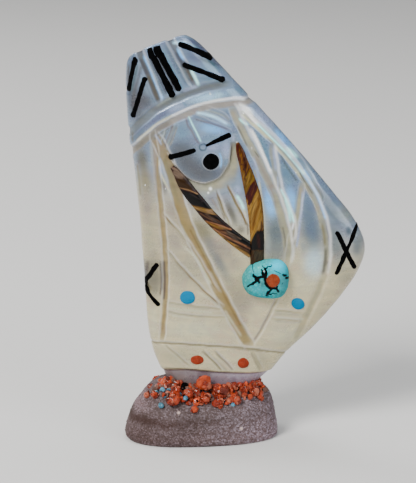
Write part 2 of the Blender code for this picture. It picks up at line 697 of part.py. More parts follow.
def chip_spot(angle, share, radius):
    """A point from the figure's foot (share 0) to the stone's shoulder (share 1), clear by the radius."""
    middle, half_width, front, back = foot_size()
    c, s = math.cos(angle), math.sin(angle)
    x = math.copysign(abs(c) ** (2 / SECTION_POWER), c) * (half_width + radius)
    y = math.copysign(abs(s) ** (2 / SECTION_POWER), s) * ((front if s < 0 else back) + radius)
    shoulder = base_point(*BASE_PROFILE[BASE_SHOULDER], angle).xy
    shoulder -= shoulder.normalized() * radius
    return Vector((middle + x, y)).lerp(shoulder, share)


def keep_off_foot(chip):
    """Moves a chip that was pushed over the figure's foot back to the foot's face."""
    middle, half_width, front, back = foot_size()
    _name, _slot, place, radius = chip
    depth = (front if place.y < 0 else back) + radius * CHIP_ROUGHNESS
    if abs(place.x - middle) < half_width and abs(place.y) < depth:
        chip[2] = Vector((place.x, math.copysign(depth, place.y)))


def chip_places(tree):
    """Name, slot, centre and radius of every chip round the foot, pushed apart until none meets another."""
    chips = []
    for slot, listed in (("coral", CORAL_CHIPS), ("turquoise", TURQUOISE_CHIPS), ("jet", JET_CHIPS)):
        for number, (degrees, share, radius) in enumerate(listed, 1):
            place = chip_spot(math.radians(degrees), share, radius)
            chips.append([f"{slot}_chip_{number:02d}", slot, place, radius])
    for _ in range(CHIP_ROUNDS):
        for i, one in enumerate(chips):
            for other in chips[i + 1 :]:
                apart = other[2] - one[2]
                lack = one[3] + other[3] + CHIP_GAP - apart.length
                if lack > 0:
                    push = apart.normalized() * lack * 0.5
                    one[2] = one[2] - push
                    other[2] = other[2] + push
            keep_off_foot(one)
    for chip in chips:
        x, y = chip[2]
        chip[2] = Vector((x, y, height_under(tree, chip[2]) + chip[3] * (1 - CHIP_SINK)))
    return chips


def make_chips(tree):
    """Broken chips: rough lumps, cut away where they meet the stone and the figure."""
    raised_base, _tree = make_base("guide_raised_base", GLUE_LINE)
    grown_blank = make_blank("guide_grown_blank", -GLUE_LINE)
    for name, slot, centre, radius in chip_places(tree):
        dice = random.Random(name)
        bm = bmesh.new()
        bmesh.ops.create_icosphere(bm, subdivisions=1, radius=1)
        for vert in bm.verts:
            vert.co = centre + vert.co * radius * dice.uniform(CHIP_ROUGHNESS, 1.0)
        chip = add_object(name, bm, slot)
        boolean(chip, raised_base, "DIFFERENCE")
        boolean(chip, grown_blank, "DIFFERENCE")


def make_maiden():
    """The carved shell, and every jet strip that is let into it."""
    maiden = make_blank("shell_maiden", slot="shell")
    blank = make_blank("guide_blank")
    core = make_blank("guide_core", INLAY_DEPTH)
    deeper_core = make_blank("guide_deeper_core", INLAY_DEPTH + GLUE_LINE)
    helpers = (blank, core, deeper_core)
    boolean(maiden, hem_step_cutter(), "DIFFERENCE")
    for name, (points, size) in BAND_RINGS.items():
        boolean(maiden, sweep_cut(name, ring_frames(points), size, closed=True), "DIFFERENCE")
    boolean(maiden, sweep_cut("chin", path_frames(CHIN, CHIN_STEP), CHIN_CUT, 0.9), "DIFFERENCE")
    for name, (points, size, lean) in FRONT_CUTS.items():
        boolean(maiden, sweep_cut(name, path_frames(points), size, lean), "DIFFERENCE")
    for name, (points, size) in BACK_CUTS.items():
        boolean(maiden, sweep_cut(name, path_frames(points, back=True), size), "DIFFERENCE")
    for name, ends in JET_STRIPS.items():
        set_strips(maiden, helpers, {name: ends})
    set_strips(maiden, helpers, RIGHT_CROSS)
    for name, ends in EDGE_CROSS_ARMS.items():
        set_strips(maiden, helpers, {name: ends}, wraps=True)
    return maiden


def main():
    clear_scene()
    _base, tree = make_base("stone_base", slot="stone")
    maiden = make_maiden()
    centre, radius, rise = MOUTH
    set_peg(maiden, "mouth", *front_frame(*centre), radius, rise, "jet")
    for name, (centre, radius, rise, slot) in DOTS.items():
        set_peg(maiden, name, *front_frame(*centre), radius, rise, slot)
    nugget_hole = make_nugget(maiden)
    make_braids(maiden, nugget_hole)
    make_chips(tree)


main()
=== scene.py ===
# Maiden fetish of mother-of-pearl with inlays, glued to a small stone; metres, front towards -Y
import math
import bmesh
import bpy
import numpy as np
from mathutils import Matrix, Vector
from mathutils.bvhtree import BVHTree


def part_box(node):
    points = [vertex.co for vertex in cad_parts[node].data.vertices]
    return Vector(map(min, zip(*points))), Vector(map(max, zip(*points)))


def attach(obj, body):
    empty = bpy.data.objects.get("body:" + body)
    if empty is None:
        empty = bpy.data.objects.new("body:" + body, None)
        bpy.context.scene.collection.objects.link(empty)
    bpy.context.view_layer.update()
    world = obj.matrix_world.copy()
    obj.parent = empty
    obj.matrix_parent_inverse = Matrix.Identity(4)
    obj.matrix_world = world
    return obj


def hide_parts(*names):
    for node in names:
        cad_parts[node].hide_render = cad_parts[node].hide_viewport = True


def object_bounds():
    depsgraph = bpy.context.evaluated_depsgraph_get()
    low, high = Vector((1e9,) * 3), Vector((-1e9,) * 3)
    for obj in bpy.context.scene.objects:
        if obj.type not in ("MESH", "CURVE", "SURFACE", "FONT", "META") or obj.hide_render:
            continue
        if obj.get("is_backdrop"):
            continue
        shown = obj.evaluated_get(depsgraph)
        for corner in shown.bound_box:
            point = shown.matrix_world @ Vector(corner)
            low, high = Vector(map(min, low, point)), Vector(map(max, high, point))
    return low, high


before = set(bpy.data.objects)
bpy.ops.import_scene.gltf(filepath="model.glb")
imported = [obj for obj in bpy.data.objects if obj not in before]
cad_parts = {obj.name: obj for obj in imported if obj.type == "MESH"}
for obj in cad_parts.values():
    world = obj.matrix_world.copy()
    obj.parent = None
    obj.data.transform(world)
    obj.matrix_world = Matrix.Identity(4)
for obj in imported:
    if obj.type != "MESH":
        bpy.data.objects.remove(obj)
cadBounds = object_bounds()
print("frame loaded with", len(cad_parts), "nodes")

mm = 0.001

# camera, lights and floor

viewValues = {"lookAt": (0.00103, 0.0, 0.0322), "distance": 0.32, "elevation": 15, "lens": 150,
              "nearest": 0.01}

softBoxes = {  # place, size, power, colour; all look at lampsAim
    "key": ((-0.34, -0.4, 0.5), (0.26, 0.26), 7.5, (1.0, 0.985, 0.96)),
    "fill": ((0.48, -0.38, 0.3), (0.4, 0.4), 2.0, (0.93, 0.97, 1.0)),
    "top": ((0.05, 0.1, 0.6), (0.35, 0.35), 1.6, (1.0, 1.0, 1.0)),
    "rim": ((-0.4, 0.3, 0.3), (0.25, 0.35), 1.5, (1.0, 0.99, 0.97)),
}
lampsAim = (0, 0, 0.03)
floorValues = {"size": 6.0, "colour": (0.62, 0.615, 0.605), "darker": 0.985, "clouds": 30.0,
               "world": (0.8, 0.82, 0.85), "worldStrength": 0.3}


def linkObject(name, data):
    made = bpy.data.objects.new(name, data)
    bpy.context.scene.collection.objects.link(made)
    return made


def aimAt(made, place, target):
    made.location = place
    made.rotation_euler = (Vector(target) - Vector(place)).to_track_quat("-Z", "Y").to_euler()


def makeCamera(v):
    camera = linkObject("camera", bpy.data.cameras.new("camera"))
    camera.data.lens = v["lens"]
    camera.data.clip_start = v["nearest"]
    tilt = math.radians(v["elevation"])
    back = Vector((0, -math.cos(tilt), math.sin(tilt))) * v["distance"]
    aimAt(camera, Vector(v["lookAt"]) + back, v["lookAt"])
    bpy.context.scene.camera = camera


def makeLights():
    for name, (place, size, power, colour) in softBoxes.items():
        lamp = bpy.data.lights.new(name, "AREA")
        lamp.shape = "RECTANGLE"
        lamp.size, lamp.size_y = size
        lamp.energy = power
        lamp.color = colour
        aimAt(linkObject(name, lamp), place, lampsAim)
    world = bpy.data.worlds.new("studio")
    world.use_nodes = True
    background = world.node_tree.nodes["Background"]
    background.inputs["Color"].default_value = (*floorValues["world"], 1)
    background.inputs["Strength"].default_value = floorValues["worldStrength"]
    bpy.context.scene.world = world


makeCamera(viewValues)
makeLights()
print("camera and lights placed")

# small tools for materials

paintValues = {  # the studio's tone curve as screen values and light, how strongly a front is lit, and sheen
    "screen": [0, 21, 44, 81, 106, 134, 160, 182, 200, 215, 233],
    "light": [0.002, 0.0116, 0.0323, 0.0887, 0.1456, 0.2422, 0.4035, 0.6734, 1.1106, 1.8366, 4.0],
    "lit": 1.8, "haze": 0.06, "darkest": 0.0015, "palest": 0.95,
}


def screen(red, green, blue, haze=paintValues["haze"]):  # paint that shows as this colour, 0 to 255, when lit
    light = np.interp((red, green, blue), paintValues["screen"], paintValues["light"])
    paint = np.clip((light - haze) / paintValues["lit"], paintValues["darkest"], paintValues["palest"])
    return tuple(float(c) for c in paint)


def put(tree, kind, inputs=None, **settings):  # adds a node; an input may be a value or another node's output
    made = tree.nodes.new("ShaderNode" + kind)
    for name, value in settings.items():
        setattr(made, name, value)
    return feedAll(tree, made, inputs or {})


def feed(tree, socket, value):
    if isinstance(value, bpy.types.NodeSocket):
        tree.links.new(value, socket)
    elif socket.type == "RGBA" and len(value) == 3:
        socket.default_value = (*value, 1)
    else:
        socket.default_value = value


def feedAll(tree, made, inputs):
    for name, value in inputs.items():
        feed(tree, made.inputs[name], value)
    return made


def mixColour(tree, factor, a, b, blend="MIX"):
    made = put(tree, "Mix", {0: factor, 6: a, 7: b}, data_type="RGBA", blend_type=blend)
    return made.outputs[2]


def glaze(tree, factor, colour, tone):  # multiplies a colour by a tone
    return mixColour(tree, factor, colour, tone, "MULTIPLY")


def sums(tree, operation, a, b):
    return put(tree, "Math", {0: a, 1: b}, operation=operation).outputs[0]


def times(tree, a, b):
    return sums(tree, "MULTIPLY", a, b)


def noise(tree, vector, scale, detail, **more):
    return put(tree, "TexNoise", {"Vector": vector, "Scale": scale, "Detail": detail, **more}).outputs["Fac"]


def spread(tree, value, low, high, toLow, toHigh):  # maps a value's range onto another, kept within it
    made = put(tree, "MapRange", {0: value, 1: low, 2: high, 3: toLow, 4: toHigh})
    return made.outputs[0]


def ramp(tree, value, stops):
    made = put(tree, "ValToRGB", {0: value})
    row = made.color_ramp.elements
    while len(row) < len(stops):
        row.new(0.5)
    for element, (place, colour) in zip(row, stops):
        element.position = place
        element.color = (*colour, 1)
    return made.outputs[0]


def newGroup(name, inputs, outputs):  # sockets are given as name and kind
    tree = bpy.data.node_groups.new(name, "ShaderNodeTree")
    kinds = {"float": "NodeSocketFloat", "vector": "NodeSocketVector"}
    for side, listed in (("INPUT", inputs), ("OUTPUT", outputs)):
        for socket, kind in listed.items():
            tree.interface.new_socket(name=socket, in_out=side, socket_type=kinds[kind])
    return tree, tree.nodes.new("NodeGroupInput").outputs, tree.nodes.new("NodeGroupOutput")


def makeGrainGroup():  # fine crystals: a mask of grains, a height, and a tone for each grain
    tree, given, out = newGroup("grain", {"Place": "vector", "Scale": "float"},
                                {"Mask": "float", "Height": "float", "Tone": "float"})
    cells = put(tree, "TexVoronoi", {
        "Vector": given["Place"], "Scale": given["Scale"], "Randomness": 1.0}).outputs
    rough = noise(tree, given["Place"], times(tree, given["Scale"], 1.7), 4.0, Roughness=0.65)
    feedAll(tree, out, {
        "Mask": spread(tree, cells["Distance"], 0.15, 0.6, 1.0, 0.0),
        "Height": sums(tree, "ADD", cells["Distance"], rough),
        "Tone": put(tree, "SeparateColor", {0: cells["Color"]}).outputs[0],
    })
    return tree


def makePolishGroup():  # hand polish: roughness that comes and goes between low and high, with faint ripples
    tree, given, out = newGroup(
        "polish", {"Place": "vector", "Scale": "float", "Low": "float", "High": "float"},
        {"Roughness": "float", "Height": "float"})
    broad = noise(tree, given["Place"], given["Scale"], 3.0)
    marks = noise(tree, given["Place"], times(tree, given["Scale"], 9.0), 2.0)
    both = sums(tree, "ADD", times(tree, broad, 0.7), times(tree, marks, 0.3))
    feedAll(tree, out, {
        "Roughness": spread(tree, both, 0.35, 0.65, given["Low"], given["High"]), "Height": broad})
    return tree


grainGroup = makeGrainGroup()
polishGroup = makePolishGroup()


def useGroup(tree, group, inputs):
    return put(tree, "Group", inputs, node_tree=group).outputs


def startMaterial(name, values):  # values are sockets of the Principled shader that stay the same all over
    made = bpy.data.materials.new(name)
    made.use_nodes = True
    tree = made.node_tree
    shader = feedAll(tree, tree.nodes["Principled BSDF"], values)
    return made, tree, shader, put(tree, "TexCoord").outputs["Object"]


def attribute(tree, name, output="Fac"):
    return put(tree, "Attribute", attribute_name=name).outputs[output]


def stretched(tree, place, scale, turn=(0, 0, 0)):
    return put(tree, "Mapping", {"Vector": place, "Scale": scale, "Rotation": turn}).outputs[0]


def bump(tree, height, strength, distance, under=None):
    made = put(tree, "Bump", {"Height": height, "Strength": strength, "Distance": distance})
    if under is not None:
        feed(tree, made.inputs["Normal"], under)
    return made.outputs[0]


# small tools for shapes


def smoothLine(points, steps, closed=False):  # a smooth curve through the points, as rows of numbers
    given = np.array(points, float)
    if closed:
        rows = np.vstack([given[-1], given, given[0], given[1]])
        spans = len(given)
    elif len(given) == 2:
        return given[0] + (given[1] - given[0]) * np.linspace(0, 1, steps + 1)[:, None]
    else:
        rows = np.vstack([2 * given[0] - given[1], given, 2 * given[-1] - given[-2]])
        spans = len(given) - 1
    t = np.linspace(0, spans, steps + 1)
    return curveRows(rows, t, spans)


def curveRows(rows, t, spans):
    k = np.clip(t.astype(int), 0, spans - 1)
    f = (t - k)[:, None]
    a, b, c, d = rows[k], rows[k + 1], rows[k + 2], rows[k + 3]
    return 0.5 * (2 * b + (c - a) * f + (2 * a - 5 * b + 4 * c - d) * f**2 + (3 * b - a - 3 * c + d) * f**3)


def ripple(places, scale, seed, waves=9):  # smooth bumps from -1 to 1, the same on every run
    rng = np.random.default_rng(seed)
    ways = rng.normal(size=(waves, places.shape[1])) * scale
    return np.sin(places @ ways.T + rng.uniform(0, 6.3, waves)).sum(1) / math.sqrt(waves)


def easeIn(value, low, high):
    t = np.clip((value - low) / (high - low), 0, 1)
    return t * t * (3 - 2 * t)


def signedPower(value, power):
    return np.sign(value) * np.abs(value) ** power


def turned(a, b, degrees):
    c, s = math.cos(math.radians(degrees)), math.sin(math.radians(degrees))
    return a * c - b * s, a * s + b * c


def lengthAlong(rows):  # how far along a row of points each of them lies
    return np.concatenate([[0], np.cumsum(np.linalg.norm(np.diff(rows, axis=0), axis=1))])


def laidOver(colour, paint, share):  # paint over the colours of points, from share 0, none, to 1, covered
    share = np.reshape(share, (-1, 1))
    return colour * (1 - share) + paint * share


def shapedGrid(name, columns, rows, shape, weld=2e-6):  # a grid bent into a closed skin, with its masks
    bm = bmesh.new()
    bmesh.ops.create_grid(bm, x_segments=columns, y_segments=rows, size=0.5)
    mesh = bpy.data.meshes.new(name)
    bm.to_mesh(mesh)
    bm.free()
    flat = np.empty(len(mesh.vertices) * 3)
    mesh.vertices.foreach_get("co", flat)
    flat = flat.reshape(-1, 3)
    places, masks = shape(flat[:, 0] + 0.5, flat[:, 1] + 0.5)
    mesh.vertices.foreach_set("co", places.ravel())
    for mask, values in masks.items():
        addMask(mesh, mask, values)
    bm = bmesh.new()
    bm.from_mesh(mesh)
    bmesh.ops.remove_doubles(bm, verts=bm.verts, dist=weld)
    bmesh.ops.holes_fill(bm, edges=[e for e in bm.edges if e.is_boundary], sides=0)
    bmesh.ops.recalc_face_normals(bm, faces=bm.faces)
    return finishPiece(name, bm, mesh)


def addMask(mesh, name, values):
    if values.ndim == 2:
        made = mesh.attributes.new(name, "FLOAT_COLOR", "POINT")
        made.data.foreach_set("color", np.hstack([values, np.ones((len(values), 1))]).ravel())
    else:
        made = mesh.attributes.new(name, "FLOAT", "POINT")
        made.data.foreach_set("value", values.astype(float))


def finishPiece(name, bm, mesh=None, smooth=True):
    mesh = mesh or bpy.data.meshes.new(name)
    for face in bm.faces:
        face.smooth = smooth
    bm.to_mesh(mesh)
    bm.free()
    made = linkObject(name, mesh)
    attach(made, "root")
    return made


def dress(piece, material, slot, *nodes):  # gives a piece its finish and hides the CAD nodes it stands for
    piece.data.materials.clear()
    piece.data.materials.append(material)
    if nodes:
        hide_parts(*nodes)


# the figure's slab, on a grid whose unit is a hundredth of the figure's height

figure = {
    "height": 0.0565, "footZ": 0.00865,
    "frontDepth": 0.0036, "backDepth": 0.0024, "thinnest": 0.00003,
    "power": 3.0,  # 2 would round the sections, more makes them squarer
    "roundedSections": 0.5,  # how many sections the rounding of the top takes up
    "topLift": 1.45, "topFall": 2.6, "topFrom": 0.86,  # in mm: the top leans back from a crisp front edge
    "sections": [  # left edge x, z, right edge x, z, thickness share
        (-9.9, 0.0, 15.6, 0.0, 0.7), (-11.6, 4.4, 19.8, 4.0, 0.78), (-13.8, 10.0, 24.8, 10.2, 0.86),
        (-15.2, 17.0, 32.2, 17.5, 0.94), (-15.8, 25.0, 38.7, 25.3, 1.0), (-16.2, 33.0, 44.0, 33.3, 1.0),
        (-16.7, 40.0, 46.0, 40.5, 1.0), (-17.2, 48.0, 43.2, 47.8, 1.0), (-18.0, 56.0, 37.3, 55.5, 1.0),
        (-18.9, 64.5, 30.0, 64.4, 1.0), (-20.1, 72.0, 22.0, 73.7, 0.97), (-20.6, 79.5, 13.6, 83.0, 0.93),
        (-20.9, 86.5, 6.0, 91.2, 0.9), (-20.7, 91.3, 0.8, 96.7, 0.88), (-20.3, 93.2, -1.5, 98.9, 0.87),
        (-19.5, 94.3, -4.4, 100.1, 0.86),
    ],
    "frontColumns": 236, "backColumns": 72, "rows": 320,
    "fineSteps": 2001, "spacedAt": 0.45,  # the columns stand evenly at this share of the height
    "halvings": 30, "rounds": 3,  # how closely a point of the drawing is found on the skin
}
unit = figure["height"] / 100
unitMm = unit / mm


def sectionAt(v):
    rows = np.array(figure["sections"])
    rows = np.vstack([2 * rows[0] - rows[1], rows, 2 * rows[-1] - rows[-2]])
    spans = len(figure["sections"]) - 1
    found = curveRows(rows, np.minimum(v, 1.0) * spans, spans)
    into = np.minimum(1.0, (1.0 - v) * spans / figure["roundedSections"])
    power = figure["power"]
    share = found[:, 4] * np.maximum(0.0, 1 - (1 - into) ** power) ** (1 / power)
    return found[:, 0:2], found[:, 2:4], share


def skinAt(angle, v):  # the angle goes from pi at the left edge by the front to 0 at the right, and on behind
    left, right, share = sectionAt(v)
    u = 0.5 + 0.5 * signedPower(np.cos(angle), 2 / figure["power"])
    out = signedPower(np.sin(angle), 2 / figure["power"])
    front, back = figure["frontDepth"], figure["backDepth"]
    depth = np.maximum(figure["thinnest"], np.where(out > 0, front, back) * share)
    place = left + (right - left) * u[:, None]
    backness = (out * -depth + front) / (front + back)
    lean = easeIn(v, figure["topFrom"], 1.0) * (figure["topLift"] - figure["topFall"] * backness) * mm
    return np.stack([place[:, 0] * unit, -out * depth, figure["footZ"] + place[:, 1] * unit + lean], axis=1)


def skinNormal(angle, v):
    step = 0.004
    v = np.clip(v, step, 1 - step)
    along = skinAt(angle + step, v) - skinAt(angle - step, v)
    up = skinAt(angle, v + step) - skinAt(angle, v - step)
    found = np.cross(up, along)
    return found / np.maximum(np.linalg.norm(found, axis=1, keepdims=True), 1e-12)


def findOnSkin(x, z):  # angle and v of drawing points; past the left edge a point folds round to the back
    low, high = np.zeros(len(x)), np.ones(len(x))
    for _halving in range(figure["halvings"]):
        v = (low + high) / 2
        left, right, _share = sectionAt(v)
        across = right - left
        above = (z - left[:, 1]) * across[:, 0] > (x - left[:, 0]) * across[:, 1]
        low, high = np.where(above, v, low), np.where(above, high, v)
    u = ((x - left[:, 0]) * across[:, 0] + (z - left[:, 1]) * across[:, 1]) / (across**2).sum(1)
    angle = np.arccos(signedPower(np.clip(2 * np.abs(u) - 1, -1, 1), figure["power"] / 2))
    return np.where(u < 0, -angle, angle), v


def onFront(points):  # places and normals for drawing points
    points = np.atleast_2d(points)
    wanted = figure["footZ"] + points[:, 1] * unit
    height = points[:, 1].copy()
    for _round in range(figure["rounds"]):
        angle, v = findOnSkin(points[:, 0], height)
        height += (wanted - skinAt(angle, v)[:, 2]) / unit
    return skinAt(angle, v), skinNormal(angle, v)


# how the cuts are drawn: width, then depth, wall and shine at the left or lower side and at the other,
# then tone; all but shine and tone are in millimetres; shine is a highlight painted along that side's wall

cutStyles = {
    "robeBroad": (1.15, 0.1, 0.12, 0.15, 0.44, 0.5, 0.8, 0.7),
    "robe": (0.78, 0.08, 0.1, 0.1, 0.36, 0.42, 0.8, 0.66),
    "flute": (0.85, 0.14, 0.3, 0.1, 0.34, 0.42, 0.45, 0.7),
    "fluteLeft": (0.8, 0.34, 0.4, 0.35, 0.16, 0.34, 0.3, 0.62),
    "band": (0.74, 0.24, 0.34, 0.35, 0.28, 0.34, 0.35, 0.75),
    "bandTop": (1.1, 0.2, 0.26, 0.06, 0.26, 0.36, 0.12, 0.58),
    "bandFoot": (0.92, 0.14, 0.3, 0.08, 0.26, 0.26, 0.85, 0.8),
    "lap": (1.6, 0.3, 0.26, 0.4, 0.22, 0.32, 0.5, 0.85),
    "side": (0.72, 0.2, 0.22, 0.3, 0.18, 0.22, 0.35, 0.75),
    "fold": (0.26, 0.18, 0.12, 0.2, 0.14, 0.3, 0.45, 1.0),
    "faint": (0.3, 0.12, 0.2, 0.15, 0.1, 0.26, 0.3, 0.4),
    "soft": (0.85, 0.14, 0.4, 0.1, 0.12, 0.5, 0.1, 0.3),
    "hair": (0.36, 0.1, 0.14, 0.1, 0.16, 0.2, 0.25, 0.4),
    "nick": (0.3, 0.02, 0.3, 0.0, 0.16, 0.14, 0.0, 0.0),
    "behind": (1.2, 0.12, 0.8, 0.1, 0.12, 0.9, 0.15, 0.5),
}

frontCuts = {  # style, tint of the floor, and the points it goes through
    "fluteByBarsLeft": ("flute", "clay", [(-17.6, 99.5), (-16.6, 95.2), (-14.2, 89.5), (-11.6, 82.3)]),
    "fluteByBarsRight": ("fluteLeft", "clay", [(-9.4, 102.5), (-7.7, 98.5), (-5, 93.4), (-1.5, 86.6)]),
    "bandTop": ("bandTop", "ash", [(-22.5, 70.8), (-19.2, 74.3), (-16.8, 76.7), (-14, 79.3), (-11.3, 81.3),
        (-5.8, 84), (-0.4, 86.1), (4.5, 87.2), (8.6, 87.6)]),
    "bandFoot": ("bandFoot", "rose", [(-22, 64.8), (-19.4, 68.1), (-16.8, 70.7), (-14.1, 73.1), (-11.3, 75.4),
        (-5.8, 78.5), (-0.4, 80.7), (3, 81.6), (15.5, 82.7)]),
    "parting": ("nick", "frost", [(-3.9, 79.2), (-0.1, 71.6)]),
    "strandLeft1": ("hair", "ash", [(-6.7, 76.9), (-9.8, 69.2)]),
    "strandLeft2": ("hair", "pearl", [(-8.2, 76.7), (-10.8, 70.2)]),
    "strandLeft3": ("hair", "ash", [(-10.2, 75), (-11.8, 71.6)]),
    "strandRight1": ("hair", "steel", [(-2.8, 79.3), (2.4, 77.1), (8.4, 74.6)]),
    "strandRight2": ("hair", "pearl", [(-1.2, 80.1), (4, 78.2), (8.2, 75.8)]),
    "strandRight3": ("hair", "steel", [(1.3, 81.2), (5.1, 79.7), (8, 77.4)]),
    "robeInner": ("robeBroad", "oat", [(7.9, 81.9), (10.3, 76.7), (12.8, 71.7), (15.3, 67.2), (17.3, 63),
        (19.2, 58.7), (21.2, 53.6), (22.9, 47.3), (23.8, 42.5), (23.9, 37)]),
    "robeOuter": ("robe", "oat", [(9.5, 81.6), (13.9, 77.1), (18.3, 73.1), (23.1, 68), (27, 62.7),
        (30.4, 57.3), (32.9, 52), (34.5, 46), (34.9, 39.4), (34.3, 33.6)]),
    "robeOuterFoot": ("soft", "olive", [(34.7, 36), (34.2, 33), (32.1, 27.1), (29.4, 20.9), (26.4, 13.4)]),
    "robeFold": ("robe", "oat", [(19.2, 71.2), (20, 65.2), (21.2, 58.7), (23.4, 53.3), (25.1, 47.9),
        (24.4, 42.5)]),
    "robePleat": ("side", "oat", [(28, 60.2), (27, 53.8), (26, 48.2), (24.6, 42.4), (23.9, 36)]),
    "robeOuterHollow": ("faint", "oat", [(24, 70.6), (27.2, 66.4), (30.6, 61.2), (33.6, 55)]),
    "frontRight": ("faint", "olive", [(21.6, 27.5), (18.7, 21.2), (16.5, 16.8), (13.9, 12.4)]),
    "sashRight1": ("faint", "olive", [(19.6, 23.5), (29.6, 22.1)]),
    "sashRight2": ("faint", "olive", [(19.1, 20.9), (28.8, 19.7)]),
    "sideEdge": ("side", "sand", [(-13.7, 75.2), (-12.8, 69.3), (-12, 60.8), (-11.2, 52.2), (-10.4, 43.6),
        (-10.1, 36.3), (-10.1, 29), (-10.6, 21.7), (-11.3, 13.2)]),
    "lap": ("lap", "sand", [(-13.3, 74), (-10.6, 68.8), (-8.4, 63.2), (-6.8, 56.7), (-4.8, 50.1),
        (-2.6, 44.4), (0.1, 38.9), (2.9, 32.9), (6, 26.8), (9.4, 20), (14, 11.8)]),
    "lapFold": ("fold", "tan", [(-11.2, 51.2), (-7.6, 47.4), (-4.3, 43.5), (-1.5, 39.2), (1.3, 34.3),
        (4.6, 28.4)]),
    "panelFold": ("fold", "tan", [(-10.2, 41.2), (-6.6, 36.8), (-2.7, 32.5), (1.8, 27.9), (6.2, 24)]),
    "sashLeft1": ("faint", "olive", [(-10.2, 25.4), (-3.2, 24.6), (6.4, 23.6)]),
    "sashLeft2": ("faint", "olive", [(-10.2, 22.8), (-3.2, 21.6), (7.6, 21.1)]),
    "collarLeft": ("fold", "tan", [(4, 58.2), (5.7, 53.4), (7.9, 48)]),
    "collarRight": ("fold", "tan", [(7.1, 59.3), (9.6, 54.2), (12.8, 48.2)]),
    "hem": ("fold", "olive", [(-16, 12.7), (-14.1, 12.8), (-6.1, 13), (3.8, 12.5), (13.7, 11.7),
        (25.5, 9.3)]),
    "hemSlant1": ("faint", "olive", [(-10.4, 12.6), (-3, 6)]),
    "hemSlant2": ("fold", "olive", [(0.3, 11.2), (5.9, 4.9)]),
    "hemSlant3": ("fold", "olive", [(3.4, 11.2), (9.3, 4.9)]),
    "hemSlant4": ("hair", "olive", [(14.4, 11), (17.4, 4.6)]),
}
backCuts = {
    "bandTopBack": ("band", "oat", [(-22.5, 71), (-19.9, 74.4), (-8.6, 83.7), (-0.4, 86.6), (12.6, 88.2)]),
    "bandFootBack": ("band", "oat", [(-22, 64.8), (-19.4, 68.1), (-5.8, 78.5), (2.4, 81.6), (15.5, 82.7)]),
    "hairLeftBack": ("behind", "oat", [(-7, 78.4), (-4, 60), (0, 42)]),
    "hairRightBack": ("behind", "oat", [(2.6, 82), (3.6, 62), (2, 42)]),
    "robeLeftBack": ("behind", "oat", [(-13, 74), (-9, 50), (-4, 30), (-1, 13)]),
    "robeRightBack": ("behind", "oat", [(12.5, 82.5), (26, 62), (30, 42), (22, 24), (14, 12.5)]),
    "hemBack": ("fold", "oat", [(-16, 12.7), (-6.1, 13), (3.8, 12.5), (13.7, 11.7), (25.5, 9.3)]),
}
cutValues = {  # how each cut is made, in mm but for shares and steps
    "spanSteps": 6, "moreSteps": 4,  # steps of its line, for each span and on top of them
    "margin": 0.25,
    "taper": 1.3, "endWidth": 0.6,  # the length over which a cut runs out, and its share of width at the end
    "wobble": 0.035, "wobbleRate": 2.1, "wobbleFrom": 0.2,  # narrower cuts don't wobble
    "floorEdge": 0.14, "floorSoft": 0.24,
    "broadWall": 1.0, "broadFrom": 0.05,  # a broader wall is coloured as floor, from that depth on
    "shineAt": 0.65, "shineSpread": 0.42, "shineSoft": 0.05, "shineLost": 0.8,
    "deepest": (0.8, 0.5),  # for each mm of the slab's depth, and on top of that
    "wallDepths": (0.02, 0.14),  # where a wall starts to look matt and where it is so
    "uneven": 0.012, "unevenScale": 1.1,
}
carving = {
    "chin": [(-9.6, 68.6), (-8.6, 66.6), (-7.3, 64.8), (-5.9, 63.2), (-4.5, 61.8), (-3.1, 60.8), (-1.2, 60.1),
        (1.0, 59.9), (2.9, 60.4), (4.9, 61.6), (6.5, 63.5), (7.6, 65.8), (8.1, 68.7), (8.3, 71.7)],
    "chinStyle": (0.6, 0.42, 2.0, 0.0, 0.5, 0.12, 0.9, 0.8), "chinShift": 0.3,
    "hemEdge": [(-14.0, 3.9), (-11.6, 4.6), (-4.7, 5.4), (3.8, 4.7), (12.3, 4.3), (19.2, 4.3), (22.0, 4.6)],
    "hemStep": 0.3, "hemSoft": (-0.05, 0.16), "hemSteps": 40,
    "rings": [  # centre, radius, width, depth and shine, in mm but for the centre and the shine
        ((2.65, 66.1), 1.36, 0.12, 0.08, 0.35),
        ((0.4, 70.4), 0.52, 0.1, 0.1, 0.0),
    ],
    "dents": [  # centre, radius and depth: the pinched edge at the left cross, a bar's end, a pit
        ((-15.4, 28.9), 0.7, 0.42),
        ((-20.4, 85.4), 0.45, 0.28),
        ((-13.0, 39.9), 0.28, 0.12),
    ],
}


def nearLine(line, spots):  # signed distance from a line, and how far along it; left of the way is positive
    a, b = line[:-1], line[1:]
    way = b - a
    length = np.linalg.norm(way, axis=1)
    start = np.concatenate([[0], np.cumsum(length)[:-1]])
    rel = spots[:, None, :] - a[None]
    t = np.clip((rel * way).sum(2) / length**2, 0, 1)
    gap = rel - t[..., None] * way
    far = np.linalg.norm(gap, axis=2)
    best = far.argmin(1)
    row = np.arange(len(spots))
    side = way[best, 0] * rel[row, best, 1] - way[best, 1] * rel[row, best, 0]
    return np.where(side < 0, -1, 1) * far[row, best], start[best] + t[row, best] * length[best], length.sum()


def insideSoftly(outline, spots, soft):  # 1 inside, easing to 0 over the outline's edge, and how far that is
    line = np.vstack([outline, outline[:1]])
    a, b = line[:-1], line[1:]
    far = np.abs(nearLine(line, spots)[0])
    x, z = spots[:, :1], spots[:, 1:]
    crosses = (a[:, 1] > z) != (b[:, 1] > z)
    rise = np.where(a[:, 1] == b[:, 1], 1.0, b[:, 1] - a[:, 1])
    inside = (crosses & (x < a[:, 0] + (z - a[:, 1]) * (b[:, 0] - a[:, 0]) / rise)).sum(1) % 2 == 1
    return easeIn(np.where(inside, far, -far), -soft, soft), far


def boxAround(line, spots, reach):  # which spots lie in a line's box or within reach of it
    return ((spots > line.min(0) - reach) & (spots < line.max(0) + reach)).all(1)


